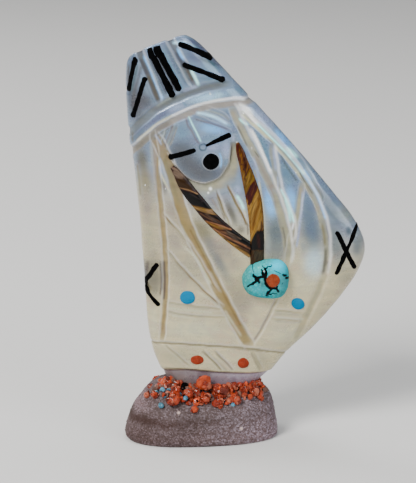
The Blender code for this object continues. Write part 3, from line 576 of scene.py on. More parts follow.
def cutInto(found, style, tint, points, x, z, shift=0.0):  # adds a cut to depth, tone, floor colour and shine, a highlight painted along its walls
    width, depthA, wallA, shineA, depthB, wallB, shineB, tone = style
    v = cutValues
    line = smoothLine(points, v["spanSteps"] * (len(points) - 1) + v["moreSteps"]) * unitMm
    spots = np.stack([x, z], axis=1) * unitMm
    near = np.where(boxAround(line, spots, width / 2 + max(wallA, wallB) + v["margin"]))[0]
    if not len(near):
        return
    s, along, total = nearLine(line, spots[near])
    s = s + shift + v["wobble"] * np.sin(along * v["wobbleRate"] + total) * (width > v["wobbleFrom"])
    full = np.sqrt(np.clip(np.minimum(along, total - along) / v["taper"], 0, 1))
    half = width / 2 * (v["endWidth"] + (1 - v["endWidth"]) * full)
    depth = np.zeros(len(s))
    for low, high, atLow, atHigh in ((-half - wallA, -half, 0, depthA), (-half, half, depthA, depthB),
                                     (half, half + wallB, depthB, 0)):
        inside = (s >= low) & (s < high)
        share = (s[inside] - low[inside]) / (high - low)[inside]
        depth[inside] = atLow + (atHigh - atLow) * share
    floor = easeIn(half + v["floorEdge"] - np.abs(s), 0, v["floorSoft"])
    if wallA > v["broadWall"]:
        floor = np.maximum(floor, easeIn(depth, v["broadFrom"], depthA) * (s < 0))
    carved = floor * tone * full
    found["depth"][near] = np.maximum(found["depth"][near], depth * full)
    found["floor"][near[carved > found["carved"][near]]] = nacrePaints[tint]
    found["carved"][near] = np.maximum(found["carved"][near], carved)
    for centre, wall, shine in ((-half - wallA * v["shineAt"], wallA, shineA),
                                (half + wallB * v["shineAt"], wallB, shineB)):
        rim = np.exp(-((s - centre) / (wall * v["shineSpread"] + v["shineSoft"])) ** 2) * shine * full
        found["shine"][near] = np.maximum(found["shine"][near], rim * (1 - floor * v["shineLost"]))


def carve(x, z, cuts, chinToo):  # what is cut away at drawing points, in mm, and how the cut looks
    found = {key: np.zeros(len(x)) for key in ("depth", "carved", "shine")}
    found["floor"] = np.zeros((len(x), 3))
    for style, tint, points in cuts.values():
        cutInto(found, cutStyles[style], tint, points, x, z)
    if chinToo:
        cutInto(found, carving["chinStyle"], "oat", carving["chin"], x, z, carving["chinShift"])
        for (cx, cz), radius, width, depth, shine in carving["rings"]:
            far = np.hypot(x - cx, z - cz) * unitMm - radius
            rim = np.exp(-((far / width) ** 2) * 2)
            found["depth"] = np.maximum(found["depth"], rim * depth)
            found["shine"] = np.maximum(found["shine"], rim * shine)
    for (cx, cz), radius, depth in carving["dents"]:
        far = np.hypot(x - cx, z - cz) * unitMm / radius
        found["depth"] = np.maximum(found["depth"], depth * np.exp(-(far**2)))
    edge = smoothLine(carving["hemEdge"], carving["hemSteps"])
    below = np.interp(x, edge[:, 0], edge[:, 1]) - z
    step = easeIn(below * unitMm, *carving["hemSoft"])
    found["depth"] = np.maximum(found["depth"] * (1 - step), step * carving["hemStep"])
    found["foot"] = step
    found["shine"] *= 1 - step
    found["carved"] *= 1 - step
    return found


# the shell's colours, laid on as soft clouds over a base that turns from cool to warm; the clouds and strokes
# also paint light: highlights and reflections of the nacre's sheen, and shade on facets turned from the
# light, in hollows and in gaps

nacreTints = {
    "ink": (44, 52, 66), "slate": (106, 110, 124), "dusk": (104, 103, 107), "violet": (124, 132, 156),
    "steel": (124, 142, 160), "teal": (96, 117, 127), "sea": (138, 164, 178), "sky": (156, 192, 212),
    "frost": (190, 222, 240), "ice": (232, 252, 255), "pearl": (190, 206, 220), "milk": (214, 222, 218),
    "mauve": (104, 92, 92), "lavender": (142, 141, 152), "haze": (174, 182, 194), "fog": (165, 170, 169),
    "sand": (166, 152, 112), "tan": (143, 123, 80), "cream": (195, 194, 182), "oat": (176, 173, 158),
    "olive": (156, 148, 118), "ash": (128, 125, 112), "rose": (168, 162, 152), "umber": (98, 80, 44),
    "clay": (116, 110, 100), "moss": (126, 138, 142),
}
nacrePaints = {name: np.array(screen(*tint)) for name, tint in nacreTints.items()}
nacreValues = {
    "cool": (152, 166, 182), "warm": (194, 189, 172),
    "leftX": -18, "rightX": 42,
    "turnLeft": 60, "turnRight": 41, "turnSoft": 11,  # heights where cool turns to warm
    "foot": ((160, 148, 148), (176, 166, 174)), "footTurns": (-9, 12),  # the foot under the hem, lavender and darker as painted shade where it curves in under the step: left and right, and where it turns
    "cloudPower": 1.5, "strokePower": 2.5, "strokeSteps": 16,
    "strokeEnds": 0.55,  # strength left at a stroke's ends
    "glint": 0.95, "behind": 0.4,  # glint: the paint of the painted highlights; behind: how much of the front's colour the back has
}
nacreClouds = [  # tint, x, z, half width, half height, tilt in degrees, strength; shell colours mixed with painted shade and painted highlights on the facets
    ("rose", -7, 42, 9, 14, 12, 0.5), ("dusk", -17.8, 81.5, 2.6, 5.5, 0, 0.9),
    ("ink", -19.2, 88.5, 1.4, 7.5, -5, 0.55), ("dusk", -14.2, 56.5, 2.3, 7, 5, 0.25),
    ("dusk", -16.2, 70.2, 2.9, 4.4, 0, 0.32), ("olive", 7.2, 64.4, 2.2, 4.4, 12, 0.5),
    ("sea", 19.3, 51.5, 2.2, 6, 6, 0.5), ("olive", 8.5, 27.5, 5, 6, 0, 0.45),
    ("moss", 3.7, 40, 1.7, 9, 26, 0.8), ("ink", -16.4, 85.5, 1.2, 3.2, -20, 0.35),
    ("dusk", -5.8, 69.2, 4.3, 3.4, 12, 0.78), ("dusk", -3, 65, 5, 3.6, -20, 0.85),
    ("dusk", 1.8, 62.4, 5.2, 2.8, 8, 0.8), ("olive", 8.9, 67, 1.1, 5.5, 0, 0.8),
    ("clay", -16.2, 32.5, 1.7, 4.6, 0, 0.85), ("ash", -13.4, 32.2, 2.6, 6.4, 0, 0.85),
    ("moss", 30.6, 45.2, 3.2, 5, 10, 0.8), ("moss", 37.2, 42.4, 2.6, 6, 15, 0.75),
    ("moss", 20.9, 42.4, 4.2, 6.2, 0, 0.8), ("olive", 25.2, 42.5, 1, 3.6, 0, 0.7),
    ("dusk", -15.1, 82.8, 2, 2.4, 20, 0.8), ("steel", -12.6, 90.1, 1.4, 7.1, 27, 0.7),
    ("violet", -7.4, 94.5, 1.4, 5.9, 27, 0.7), ("sea", -4.7, 89.3, 1.1, 3, 27, 0.5),
    ("violet", -1.4, 95.4, 3.4, 1.5, -20, 0.7), ("sea", 2.9, 92, 2.9, 1.5, -25, 0.7),
    ("sea", 2.9, 88.6, 3.7, 0.9, -12, 0.6), ("teal", -0.6, 97.8, 3.7, 0.9, -38, 0.6),
    ("haze", -6, 81.6, 3.4, 1, 24, 0.7), ("pearl", 1.8, 84, 5.1, 1.1, 10, 0.75),
    ("sea", 10, 85.5, 3.4, 0.9, 0, 0.6), ("ash", -17.7, 73, 2, 0.9, 38, 0.7),
    ("sea", -5.3, 74.5, 1.7, 2.4, 20, 0.8), ("sky", 3.2, 75.4, 3.4, 1.5, -10, 0.8),
    ("sea", 2.4, 72.9, 2.3, 1.2, 15, 0.6), ("haze", 6.8, 69.2, 1.1, 2.7, 0, 0.9),
    ("haze", 3.2, 70.1, 2, 0.9, 10, 0.7), ("sea", 6.8, 65.8, 0.9, 1.2, 0, 0.7),
    ("rose", 4, 59.1, 2.9, 0.9, 0, 0.6), ("ash", -16.4, 66.2, 1.7, 3.5, 5, 0.9),
    ("olive", -15.6, 60.5, 1.7, 4.1, 5, 0.8), ("rose", -15.4, 53, 1.7, 4.7, 3, 0.8),
    ("oat", -14.4, 43.8, 1.7, 4.7, 0, 0.7), ("ash", -10.6, 59.1, 0.9, 2.4, 15, 0.8),
    ("cream", -13.4, 19.3, 1.1, 4.1, 0, 0.6), ("rose", -8.2, 51.8, 1.4, 3.5, 15, 0.6),
    ("olive", -0.4, 46.7, 4, 2.7, -35, 0.8), ("rose", 5.7, 41, 4.6, 2.7, -35, 0.8),
    ("rose", -7.6, 43.7, 1.7, 3, 15, 0.5), ("oat", -3.8, 34.5, 5.1, 3.5, 0, 0.6),
    ("rose", 9.6, 37, 2.3, 1.8, 0, 0.5), ("rose", 11.4, 25.9, 3.4, 3.5, 0, 0.6),
    ("fog", 1, 58.2, 2.3, 1.2, 0, 0.7), ("ash", 8.2, 51.7, 1.1, 3.8, 22, 0.9),
    ("haze", 10.1, 58.2, 0.9, 1.2, 0, 0.9), ("lavender", 3.2, 54.5, 0.9, 2.1, 35, 0.6),
    ("ash", 11, 46.8, 1.1, 1.2, 0, 0.7), ("sky", 19, 54.5, 1.4, 4.1, 10, 0.9),
    ("moss", 20.7, 46.2, 2.3, 4.1, 0, 0.9), ("fog", 18.5, 42.2, 0.9, 3, 0, 0.7),
    ("sea", 17.8, 69.1, 0.9, 4.1, 20, 0.7), ("sea", 23.6, 62, 1.4, 4.1, 15, 0.8),
    ("sky", 25.1, 55.3, 1.4, 3.5, 15, 0.8), ("steel", 30.1, 49, 2, 6.5, 12, 0.95),
    ("haze", 17.2, 78.3, 1.7, 4.1, 42, 0.8), ("sky", 23.4, 71.3, 1.1, 4.1, 42, 0.6),
    ("sky", 28.4, 62.8, 0.9, 3.8, 40, 0.9), ("moss", 32.6, 56.9, 1.4, 4.7, 38, 0.9),
    ("moss", 36.6, 52, 1.7, 4.7, 30, 0.8), ("fog", 40.3, 50.5, 2, 3, 30, 0.9),
    ("teal", 41.1, 45.9, 0.9, 1.2, 0, 0.8), ("moss", 43.5, 41.5, 1.4, 3, 0, 0.8),
    ("pearl", 31.4, 37, 2.9, 4.2, 0, 0.5), ("oat", 40.2, 33.2, 2.9, 3, 0, 0.6),
    ("cream", 28.7, 31.1, 3.4, 3, 0, 0.5), ("fog", 28.3, 41.8, 0.9, 1.8, 0, 0.6),
    ("cream", -1.8, 17.6, 7.4, 2.7, 0, 0.7), ("cream", 23.5, 15.9, 5.1, 3.5, 0, 0.6),
    ("rose", 10.8, 20, 2.3, 4.1, 0, 0.6), ("oat", -6.7, 9.5, 5.7, 2.4, 0, 0.6),
    ("oat", 17.1, 7.6, 2, 2.7, 0, 0.6),
]
paintedGlints = [  # painted highlights: small white glints where glue beads and polished spots catch the light: x, z, radius in mm
    (-7.7, 63.7, 0.2), (9.8, 71.4, 0.16), (2.5, 58.3, 0.26), (1.9, 57.2, 0.16), (11.6, 79.4, 0.12),
    (2.4, 85, 0.14), (-15.6, 59, 0.1), (13.9, 69.8, 0.1), (-9.9, 58.4, 0.1), (26.2, 62.8, 0.08),
]
nacreStrokes = [  # tint, half width in mm, strength, line; besides groove floors and shell colours, pale strokes paint highlights along ridges and rims, dark strokes paint shade in gaps, hollows and at the feet of walls
    ("dusk", 0.23, 0.8, [(-19.9, 92.3), (-20.1, 89.6), (-20.1, 86.1)]),
    ("teal", 0.24, 0.8, [(-17.4, 92.7), (-18.2, 89.3), (-19.3, 85.2)]),
    ("dusk", 0.29, 0.7, [(-16.4, 92.5), (-17.3, 88.8), (-18.4, 84.8), (-19, 80.7)]),
    ("dusk", 0.26, 0.8, [(-16.7, 94.4), (-15.7, 92.5), (-14.8, 90.3)]),
    ("clay", 0.32, 0.9, [(-14.7, 90), (-13.6, 87.6), (-12.5, 84.8), (-11.7, 82.9)]),
    ("sky", 0.24, 1, [(-15.6, 95.1), (-14.2, 92.3), (-12.9, 89), (-11.5, 85.7), (-10.7, 83.7)]),
    ("steel", 0.29, 0.9, [(-14.5, 94.5), (-13.1, 91.2), (-11.8, 87.9), (-10.5, 84.8)]),
    ("slate", 0.21, 0.9, [(-13.9, 94.5), (-12.6, 91.7), (-11, 88.2), (-9.6, 85.1)]),
    ("dusk", 0.19, 0.9, [(-12.9, 96.5), (-11.5, 94.5), (-10.3, 92), (-8.9, 89.6), (-8, 87.6), (-7, 85.7)]),
    ("sea", 0.26, 1, [(-10.4, 97.3), (-9.3, 95.1), (-7.7, 91.8), (-6.2, 88.7), (-4.9, 86.2)]),
    ("steel", 0.32, 0.9, [(-9.4, 98), (-8.1, 95.6), (-6.7, 92.9), (-5.4, 90.1), (-3.9, 87.9)]),
    ("slate", 0.27, 0.95, [(-6.7, 96.4), (-6.1, 95), (-5.2, 93.4), (-4.4, 92)]),
    ("moss", 0.19, 0.7, [(-5.5, 92.6), (-4.4, 90.4), (-3.4, 88.2)]),
    ("clay", 0.32, 0.9, [(-3.9, 91.7), (-2.9, 89.8), (-2.1, 88.2)]),
    ("lavender", 0.26, 0.8, [(-2, 88.4), (-1.3, 87.2)]),
    ("sky", 0.24, 1, [(-6.3, 97.2), (-5.5, 95.6), (-4.7, 94.5)]),
    ("frost", 0.24, 1, [(-2.8, 91.6), (-1.7, 89.5), (-0.8, 87.5)]),
    ("pearl", 0.21, 1, [(-7.5, 98.9), (-5.8, 99.1), (-4.2, 99)]),
    ("sea", 0.23, 0.8, [(-3.9, 98.8), (-1.4, 97.6), (0.7, 96.2)]),
    ("violet", 0.26, 0.9, [(-3.4, 99.6), (-1.2, 98.2), (1.3, 95.8), (3.2, 93.8), (5.1, 91.9)]),
    ("teal", 0.32, 0.8, [(-0.4, 94.8), (1.8, 93.6), (4, 92.4)]),
    ("steel", 0.21, 0.7, [(-15.1, 87.8), (-14.3, 85.6), (-13.5, 83.7), (-12.9, 82.4)]),
    ("fog", 0.21, 0.9, [(-12.1, 81.5), (-9.6, 83.2), (-8, 84)]),
    ("haze", 0.23, 0.9, [(-4.7, 85.8), (-3.1, 86.4), (-1.2, 86.9)]),
    ("ash", 0.29, 0.45, [(-13.8, 80), (-10.5, 81.8), (-7.2, 83.6), (-3.9, 85), (-0.9, 86.1), (2.4, 87),
        (5.6, 87.4)]),
    ("violet", 0.45, 0.85, [(-18.6, 72.4), (-16.6, 74.4), (-14, 76.6), (-11.3, 78.7), (-9.4, 79.9)]),
    ("umber", 0.14, 0.8, [(-11.4, 35.6), (-11.2, 31.8), (-11.6, 27.4)]),
    ("sea", 0.23, 0.8, [(-5, 82.4), (-3.9, 81.8)]),
    ("cream", 0.19, 0.9, [(-17.6, 71.6), (-14.6, 74.4), (-11.9, 76.7), (-8, 78.9)]),
    ("milk", 0.2, 0.9, [(-8, 78.8), (-4.5, 80.5), (-1.5, 81.7), (1, 82.4), (3.7, 83), (6.2, 83.4),
        (9.2, 83.6), (12, 83.3)]),
    ("ash", 0.45, 0.6, [(-18.6, 68.9), (-16.4, 71), (-14.1, 73), (-11.3, 75.4), (-8.6, 77.1)]),
    ("ash", 0.13, 0.8, [(-13.2, 72.2), (-10.8, 74.2), (-7.9, 76)]),
    ("steel", 0.24, 0.8, [(-18.9, 71.9), (-17.4, 73.3), (-15.8, 74.9)]),
    ("ash", 0.21, 0.7, [(-19.3, 73.6), (-19, 71)]),
    ("frost", 0.13, 0.9, [(-3.4, 78.5), (-2.3, 76.2), (-1.2, 74), (-0.2, 71.8)]),
    ("lavender", 0.16, 1, [(-4.2, 78.2), (-3.7, 76.2), (-2.6, 74.6), (-1.5, 72.3), (-0.6, 71.2)]),
    ("pearl", 0.21, 0.9, [(-1.2, 79.7), (1.8, 79.2), (4.6, 78.2), (6.8, 76.8)]),
    ("lavender", 0.19, 0.9, [(-1.7, 78), (1, 77.2), (3.2, 76.6), (5.7, 75.7), (7.3, 75.1)]),
    ("fog", 0.18, 0.8, [(1.3, 80.4), (3.7, 79.8), (6.5, 78.7), (7.6, 77.6)]),
    ("fog", 0.13, 0.9, [(-10, 74.8), (-10.8, 72.8), (-11.4, 71.4)]),
    ("ash", 0.13, 0.8, [(-9.6, 74.5), (-10.4, 72.5), (-10.8, 71.4)]),
    ("lavender", 0.13, 0.9, [(-8.9, 75.1), (-9.7, 73.1), (-10.4, 71.1)]),
    ("mauve", 0.18, 0.9, [(-7.8, 76.2), (-8.7, 74), (-9.6, 71.7), (-10, 70.3)]),
    ("fog", 0.15, 0.9, [(-7.4, 75.9), (-8.3, 73.4), (-9.2, 70.8), (-9.6, 69.4)]),
    ("ash", 0.15, 0.8, [(-6.7, 75.7), (-7.6, 73.1), (-8.6, 70.6)]),
    ("haze", 0.16, 0.8, [(-12.7, 73.3), (-11.9, 72.2), (-11.1, 70.8)]),
    ("sky", 0.16, 0.8, [(5, 68.4), (5.5, 66.7), (5.3, 64.7)]),
    ("rose", 0.15, 1, [(-7.8, 65.8), (-6.4, 64.1), (-4.8, 62.3), (-3.1, 61), (-1.2, 60.3), (1, 60),
        (2.4, 60.3)]),
    ("clay", 0.13, 0.8, [(8.1, 71.5), (8.3, 68.9), (7.9, 66.4)]),
    ("teal", 0.11, 0.9, [(-0.4, 70.9), (-0.5, 69.8), (0.2, 69.3), (1.1, 69.5), (1.4, 70.4), (1, 71),
        (0.2, 71), (-0.3, 70.6)]),
    ("haze", 0.24, 0.8, [(8.7, 73.4), (8.8, 72)]),
    ("cream", 0.16, 0.9, [(-11.8, 66.2), (-11.4, 63.1), (-10.6, 61.1), (-9.5, 58.9), (-8.7, 57.2)]),
    ("clay", 0.19, 0.8, [(-12.1, 68.8), (-11.7, 66.8)]),
    ("olive", 0.35, 0.8, [(-10.3, 66.6), (-8.9, 62.3), (-7.6, 58.1), (-6.5, 54.4)]),
    ("fog", 0.26, 0.8, [(-13.9, 70.4), (-13.6, 67.6), (-13.5, 64.7)]),
    ("rose", 0.32, 0.9, [(-12.9, 69.3), (-12.8, 65), (-12.6, 60.8), (-12.3, 56.5)]),
    ("olive", 0.19, 0.7, [(-17.8, 64.6), (-17.3, 60.3), (-17, 56)]),
    ("haze", 0.24, 0.7, [(-11.4, 64.8), (-11.2, 62.5)]),
    ("sand", 0.62, 0.9, [(-7.2, 54.4), (-5.6, 49.5), (-3.6, 45), (-1.7, 41), (0.3, 37.5), (2.7, 33.2),
        (5.5, 28.5), (7.7, 24.2), (10.3, 19.5), (12.5, 15.2)]),
    ("olive", 0.16, 0.8, [(-1.8, 45), (-0.1, 41.8), (1.5, 39), (3.2, 35.8), (4.9, 32.9)]),
    ("cream", 0.19, 0.9, [(-4.9, 41.7), (-3.2, 40.3), (-1.2, 38.1), (0.4, 34.9), (2.4, 31.1)]),
    ("oat", 0.16, 0.9, [(-8.5, 48.9), (-6.2, 46), (-4.3, 43.5), (-2.9, 41.5)]),
    ("oat", 0.16, 0.9, [(-5.7, 47.8), (-4.6, 45.5), (-3.2, 42.9)]),
    ("oat", 0.16, 0.9, [(-9.6, 40.1), (-6.8, 37.3), (-4.3, 34.8), (-1.5, 32), (1.3, 29.1)]),
    ("cream", 0.15, 0.8, [(-1.5, 29), (1.3, 27.3), (3.5, 25.6), (4.9, 24.1)]),
    ("oat", 0.15, 0.9, [(2.7, 34.6), (4.3, 31.4), (5.7, 28.5)]),
    ("tan", 0.14, 0.8, [(-3.2, 46.6), (-0.9, 42), (1.9, 36.6), (4.6, 31.2), (7.6, 25.2), (11, 18.6)]),
    ("mauve", 0.21, 0.9, [(-10.6, 37.2), (-10.4, 33.4), (-10.4, 29.6), (-10.7, 26.1)]),
    ("sand", 0.19, 0.8, [(-9.8, 37.2), (-9.5, 32), (-10, 26.1), (-10.6, 21.7), (-11.2, 16.6)]),
    ("clay", 0.21, 0.8, [(-11.5, 37.1), (-11.2, 33.3), (-11.2, 28.9)]),
    ("sand", 0.23, 0.7, [(-11, 47.9), (-10.7, 43.5), (-10.5, 39.2)]),
    ("sand", 0.16, 0.7, [(-11.8, 69.4), (-12.3, 63.6), (-12, 57.9), (-11.6, 52.2), (-11.3, 46.4)]),
    ("dusk", 0.16, 0.8, [(-15.9, 33.4), (-15.3, 31.6)]),
    ("umber", 0.13, 0.9, [(-15.9, 31.3), (-15.1, 30.2)]),
    ("mauve", 0.32, 0.7, [(-15, 36.7), (-15.6, 33.6)]),
    ("olive", 0.19, 0.9, [(4.4, 56.2), (5.4, 53.1), (6.5, 49.9)]),
    ("oat", 0.13, 0.9, [(5.6, 55.1), (6.5, 51.7), (7.6, 48.8)]),
    ("tan", 0.21, 0.9, [(7.3, 59.3), (8.7, 56.5), (10.1, 53.7), (11.5, 50.8), (12.5, 48.2)]),
    ("olive", 0.15, 0.8, [(7.9, 57.4), (9.3, 54.5), (10.7, 51.4)]),
    ("frost", 0.23, 1, [(9.8, 56.5), (11, 54.5), (11.8, 52.5)]),
    ("cream", 0.13, 0.9, [(11.8, 52.5), (12.4, 50.8)]),
    ("fog", 0.19, 0.8, [(0.2, 56.8), (1.5, 54.8), (3.5, 52.8)]),
    ("rose", 0.15, 0.8, [(2.9, 55.6), (4, 53.6), (4.9, 51.9)]),
    ("clay", 0.16, 0.8, [(6.8, 48.5), (8.2, 47.4)]),
    ("umber", 0.13, 0.7, [(12.8, 48.5), (12.9, 45.3)]),
    ("cream", 0.15, 0.9, [(15.9, 60.5), (16.5, 56.8), (17.1, 52.5), (17.4, 48.2), (17.5, 43.9)]),
    ("oat", 0.13, 0.8, [(14.5, 63.9), (15.3, 61.6)]),
    ("haze", 0.21, 0.8, [(14.5, 67.2), (15.3, 63.8), (16, 60.5)]),
    ("ice", 0.48, 1, [(10.9, 81.3), (12.2, 80.4), (13.3, 79.3)]),
    ("ice", 0.26, 1, [(13.1, 79.3), (14.4, 77.6), (15.8, 76.2)]),
    ("frost", 0.18, 1, [(15.6, 76.4), (17.2, 74.8), (18.9, 73.1), (20.5, 71.5), (22.2, 69.8), (23.9, 68),
        (25.6, 66), (27.3, 64), (28.7, 62.1)]),
    ("sky", 0.18, 0.9, [(28.7, 62), (30.3, 59.5), (31.8, 57.2), (32.9, 54.7), (33.7, 52.5), (34.6, 49.7)]),
    ("cream", 0.21, 0.9, [(11.1, 79.1), (12.5, 77.9), (14.2, 76.3), (16.1, 74.6), (18, 72.6)]),
    ("cream", 0.21, 0.9, [(20.3, 70.1), (22.2, 68.1), (24.2, 65.8), (26.1, 63.5), (27.5, 61.6)]),
    ("cream", 0.1, 0.9, [(14.4, 76.6), (16.4, 74.7), (18.3, 72.9), (20, 71.3)]),
    ("fog", 0.1, 0.9, [(21.4, 69.7), (23.1, 68), (25, 65.8), (27, 63.2)]),
    ("ash", 0.11, 1, [(27.3, 62.7), (28.4, 60.7), (29.6, 58.7), (30.9, 56.7)]),
    ("moss", 0.16, 0.9, [(10.3, 80), (11.1, 79.1)]),
    ("oat", 0.31, 0.9, [(28.4, 59.6), (29.8, 57.3), (31.2, 54.8), (32.3, 52), (33.2, 49.2)]),
    ("olive", 0.29, 0.9, [(33.5, 48), (34.1, 45.2), (34.4, 42.3)]),
    ("ash", 0.29, 0.8, [(34.7, 40.9), (34.6, 37.4), (34, 33.9)]),
    ("lavender", 0.15, 0.8, [(34.9, 47.7), (35.5, 44.8), (35.8, 42)]),
    ("oat", 0.32, 0.9, [(8.4, 80), (9.8, 77.5), (11.4, 74.5), (13.1, 71.4), (14.8, 68.3)]),
    ("rose", 0.32, 0.9, [(14.8, 67.8), (16.4, 64.7), (18.1, 61.6), (19.5, 58.7)]),
    ("oat", 0.35, 0.9, [(20.1, 57), (21.2, 53.9), (22.3, 50.5), (23.5, 46.8), (23.9, 43.3)]),
    ("ash", 0.15, 0.7, [(10, 75.9), (11.4, 73.1), (12.5, 70.6)]),
    ("ash", 0.1, 0.9, [(14.7, 68.9), (15.9, 67.2)]),
    ("frost", 0.18, 1, [(10.6, 77.9), (11.8, 76.8), (12.7, 76.4)]),
    ("ice", 0.26, 1, [(13.6, 75), (14.7, 73), (15.8, 70.8), (17, 68), (18.1, 65.5), (19.2, 63)]),
    ("sea", 0.21, 0.8, [(15.6, 73.5), (17.2, 70.2), (18.3, 67.1), (19.2, 64.3)]),
    ("haze", 0.27, 0.9, [(20, 69.8), (20.3, 67.1), (20.6, 63.8)]),
    ("oat", 0.23, 0.8, [(20, 61.5), (20.6, 58.2)]),
    ("haze", 0.1, 0.9, [(21, 61.8), (21.2, 59.6), (21, 57.9)]),
    ("sea", 0.19, 0.9, [(21.1, 67.3), (21.5, 64.3), (21.8, 60.9)]),
    ("frost", 0.18, 1, [(22.1, 58.1), (23.1, 56.1), (24.3, 53.6), (25.1, 51.3), (25.7, 48.7)]),
    ("milk", 0.16, 0.9, [(25.6, 48.5), (25.3, 46.7)]),
    ("frost", 0.26, 0.8, [(23.4, 55.3), (24.3, 51.9), (24.7, 49)]),
    ("oat", 0.26, 0.9, [(27.4, 58.6), (27.3, 55.8), (26.9, 53), (26.5, 49.6)]),
    ("olive", 0.24, 0.9, [(26.3, 48.5), (25.9, 45.6), (25.2, 42.2)]),
    ("haze", 0.18, 0.9, [(28.1, 57.1), (27.9, 53.8), (27.5, 49.6), (27, 45.6), (26.5, 41.9)]),
    ("ash", 0.1, 0.9, [(25.9, 45), (25.8, 43.3), (25.5, 41.9)]),
    ("sea", 0.15, 0.7, [(26.4, 58.6), (26.2, 55.2), (25.9, 51.9)]),
    ("moss", 0.19, 0.8, [(21.9, 67.6), (23.3, 65), (24.7, 62.8), (26.4, 60.5)]),
    ("frost", 0.32, 1, [(23.9, 69.3), (25, 68.2), (26.4, 66.9)]),
    ("sea", 0.15, 0.9, [(26.7, 66.7), (28.1, 65.4), (29.5, 63.9), (31.2, 62.2)]),
    ("sea", 0.23, 0.9, [(25.3, 66.8), (26.7, 65.3), (28.4, 63.4)]),
    ("sand", 0.16, 0.7, [(16.7, 80.8), (20.4, 76.9), (24.3, 72.6), (27.7, 68.4)]),
    ("sky", 0.26, 0.7, [(20.6, 74.2), (22.8, 71.4)]),
    ("rose", 0.13, 0.8, [(17.3, 62.1), (18.7, 59.3), (20.1, 56.2), (20.7, 53.1)]),
    ("ash", 0.13, 0.8, [(22.6, 47.3), (23.2, 44.5), (23.5, 41.6)]),
    ("oat", 0.19, 0.8, [(31.8, 53.7), (32.6, 50.6), (33.2, 47.2)]),
    ("ash", 0.16, 0.8, [(35.5, 37.4), (35.5, 34.7)]),
    ("oat", 0.26, 0.8, [(33.7, 32.1), (32.7, 28.6), (31, 25), (29.4, 20.9)]),
    ("oat", 0.16, 0.8, [(-9.4, 25.1), (-6, 24.8), (-1.8, 24.1), (2.4, 23.8)]),
    ("oat", 0.16, 0.9, [(-9.4, 22.6), (-6.6, 22), (-3.2, 21.9), (0.4, 21.5)]),
    ("cream", 0.19, 0.9, [(-9.4, 23.8), (-5.5, 23.4), (-1.5, 23.1), (2.9, 22.7)]),
    ("cream", 0.13, 0.8, [(-8.3, 21.5), (-4.6, 21.1), (-1.6, 20.7)]),
    ("oat", 0.16, 0.8, [(20.9, 22.9), (25.4, 22.7)]),
    ("oat", 0.16, 0.8, [(20.6, 22.2), (24.9, 22), (28.8, 21.7)]),
    ("cream", 0.21, 0.9, [(20.7, 21.2), (24.9, 20.8), (28.6, 20.3)]),
    ("oat", 0.15, 0.8, [(20.9, 20), (24.9, 19.6), (28.6, 19.4)]),
    ("rose", 0.19, 0.8, [(20.6, 26.5), (19.2, 23), (17.6, 19.4), (15.9, 16.1), (14.8, 14)]),
    ("olive", 0.15, 0.8, [(-11.8, 13.6), (-7.5, 13.4), (-1.8, 12.9), (3.8, 12.5), (9.5, 11.9), (13.1, 11.4),
        (17.1, 10.8)]),
    ("oat", 0.15, 0.8, [(10.5, 21.2), (12.2, 17.7), (14, 14.3)]),
    ("cream", 0.19, 0.7, [(6.6, 23), (8.9, 19.2), (11.1, 15.6)]),
    ("oat", 0.13, 0.8, [(-10.1, 12.4), (-7.5, 10.1), (-5, 8.1)]),
    ("olive", 0.13, 0.8, [(0.1, 10.9), (2.4, 8.8), (5.5, 5.3)]),
    ("rose", 0.13, 0.8, [(4.1, 11), (6.6, 8.2), (8.6, 5.3)]),
    ("oat", 0.23, 0.8, [(1.8, 10.6), (4.1, 8.2), (6.9, 5.3)]),
    ("olive", 0.15, 0.8, [(14, 10.6), (15.1, 8), (16.6, 5.1)]),
    ("ash", 0.13, 0.8, [(-10.4, 5.3), (-4.7, 5.6), (1, 5), (6.6, 4.6), (12.3, 4.3)]),
]


def tintAt(x, z, carved, floor, isFront):
    v = nacreValues
    share = np.clip((x - v["leftX"]) / (v["rightX"] - v["leftX"]), 0, 1)
    turn = v["turnLeft"] + (v["turnRight"] - v["turnLeft"]) * share
    warm = easeIn(turn - z, -v["turnSoft"], v["turnSoft"])
    colour = laidOver(np.array(screen(*v["cool"])), np.array(screen(*v["warm"])), warm)
    # clouds of shell colour, painted shade and painted highlights
    for tint, cx, cz, rx, rz, tilt, strength in nacreClouds:
        a, b = turned(x - cx, z - cz, -tilt)
        cloud = strength * np.exp(-(((a / rx) ** 2 + (b / rz) ** 2) ** v["cloudPower"]))
        colour = laidOver(colour, nacrePaints[tint], cloud)
    colour = laidOver(colour, floor, carved)
    spots = np.stack([x, z], axis=1) * unitMm
    # strokes of shell colour, painted highlights and painted shade
    for tint, half, strength, points in nacreStrokes:
        line = smoothLine(points, v["strokeSteps"]) * unitMm
        near = np.where(boxAround(line, spots, half * 2) & isFront)[0]
        if len(near):
            s, along, total = nearLine(line, spots[near])
            fade = v["strokeEnds"] + (1 - v["strokeEnds"]) * easeIn(np.minimum(along, total - along), 0, half)
            share = strength * fade * np.exp(-((np.abs(s) / half) ** v["strokePower"]))
            colour[near] = laidOver(colour[near], nacrePaints[tint], share)
    # painted highlights: the small white glints
    for cx, cz, radius in paintedGlints:
        far = ((x - cx) ** 2 + (z - cz) ** 2) * unitMm**2 / radius**2
        colour = laidOver(colour, v["glint"], isFront * np.exp(-(far**2)))
    return colour


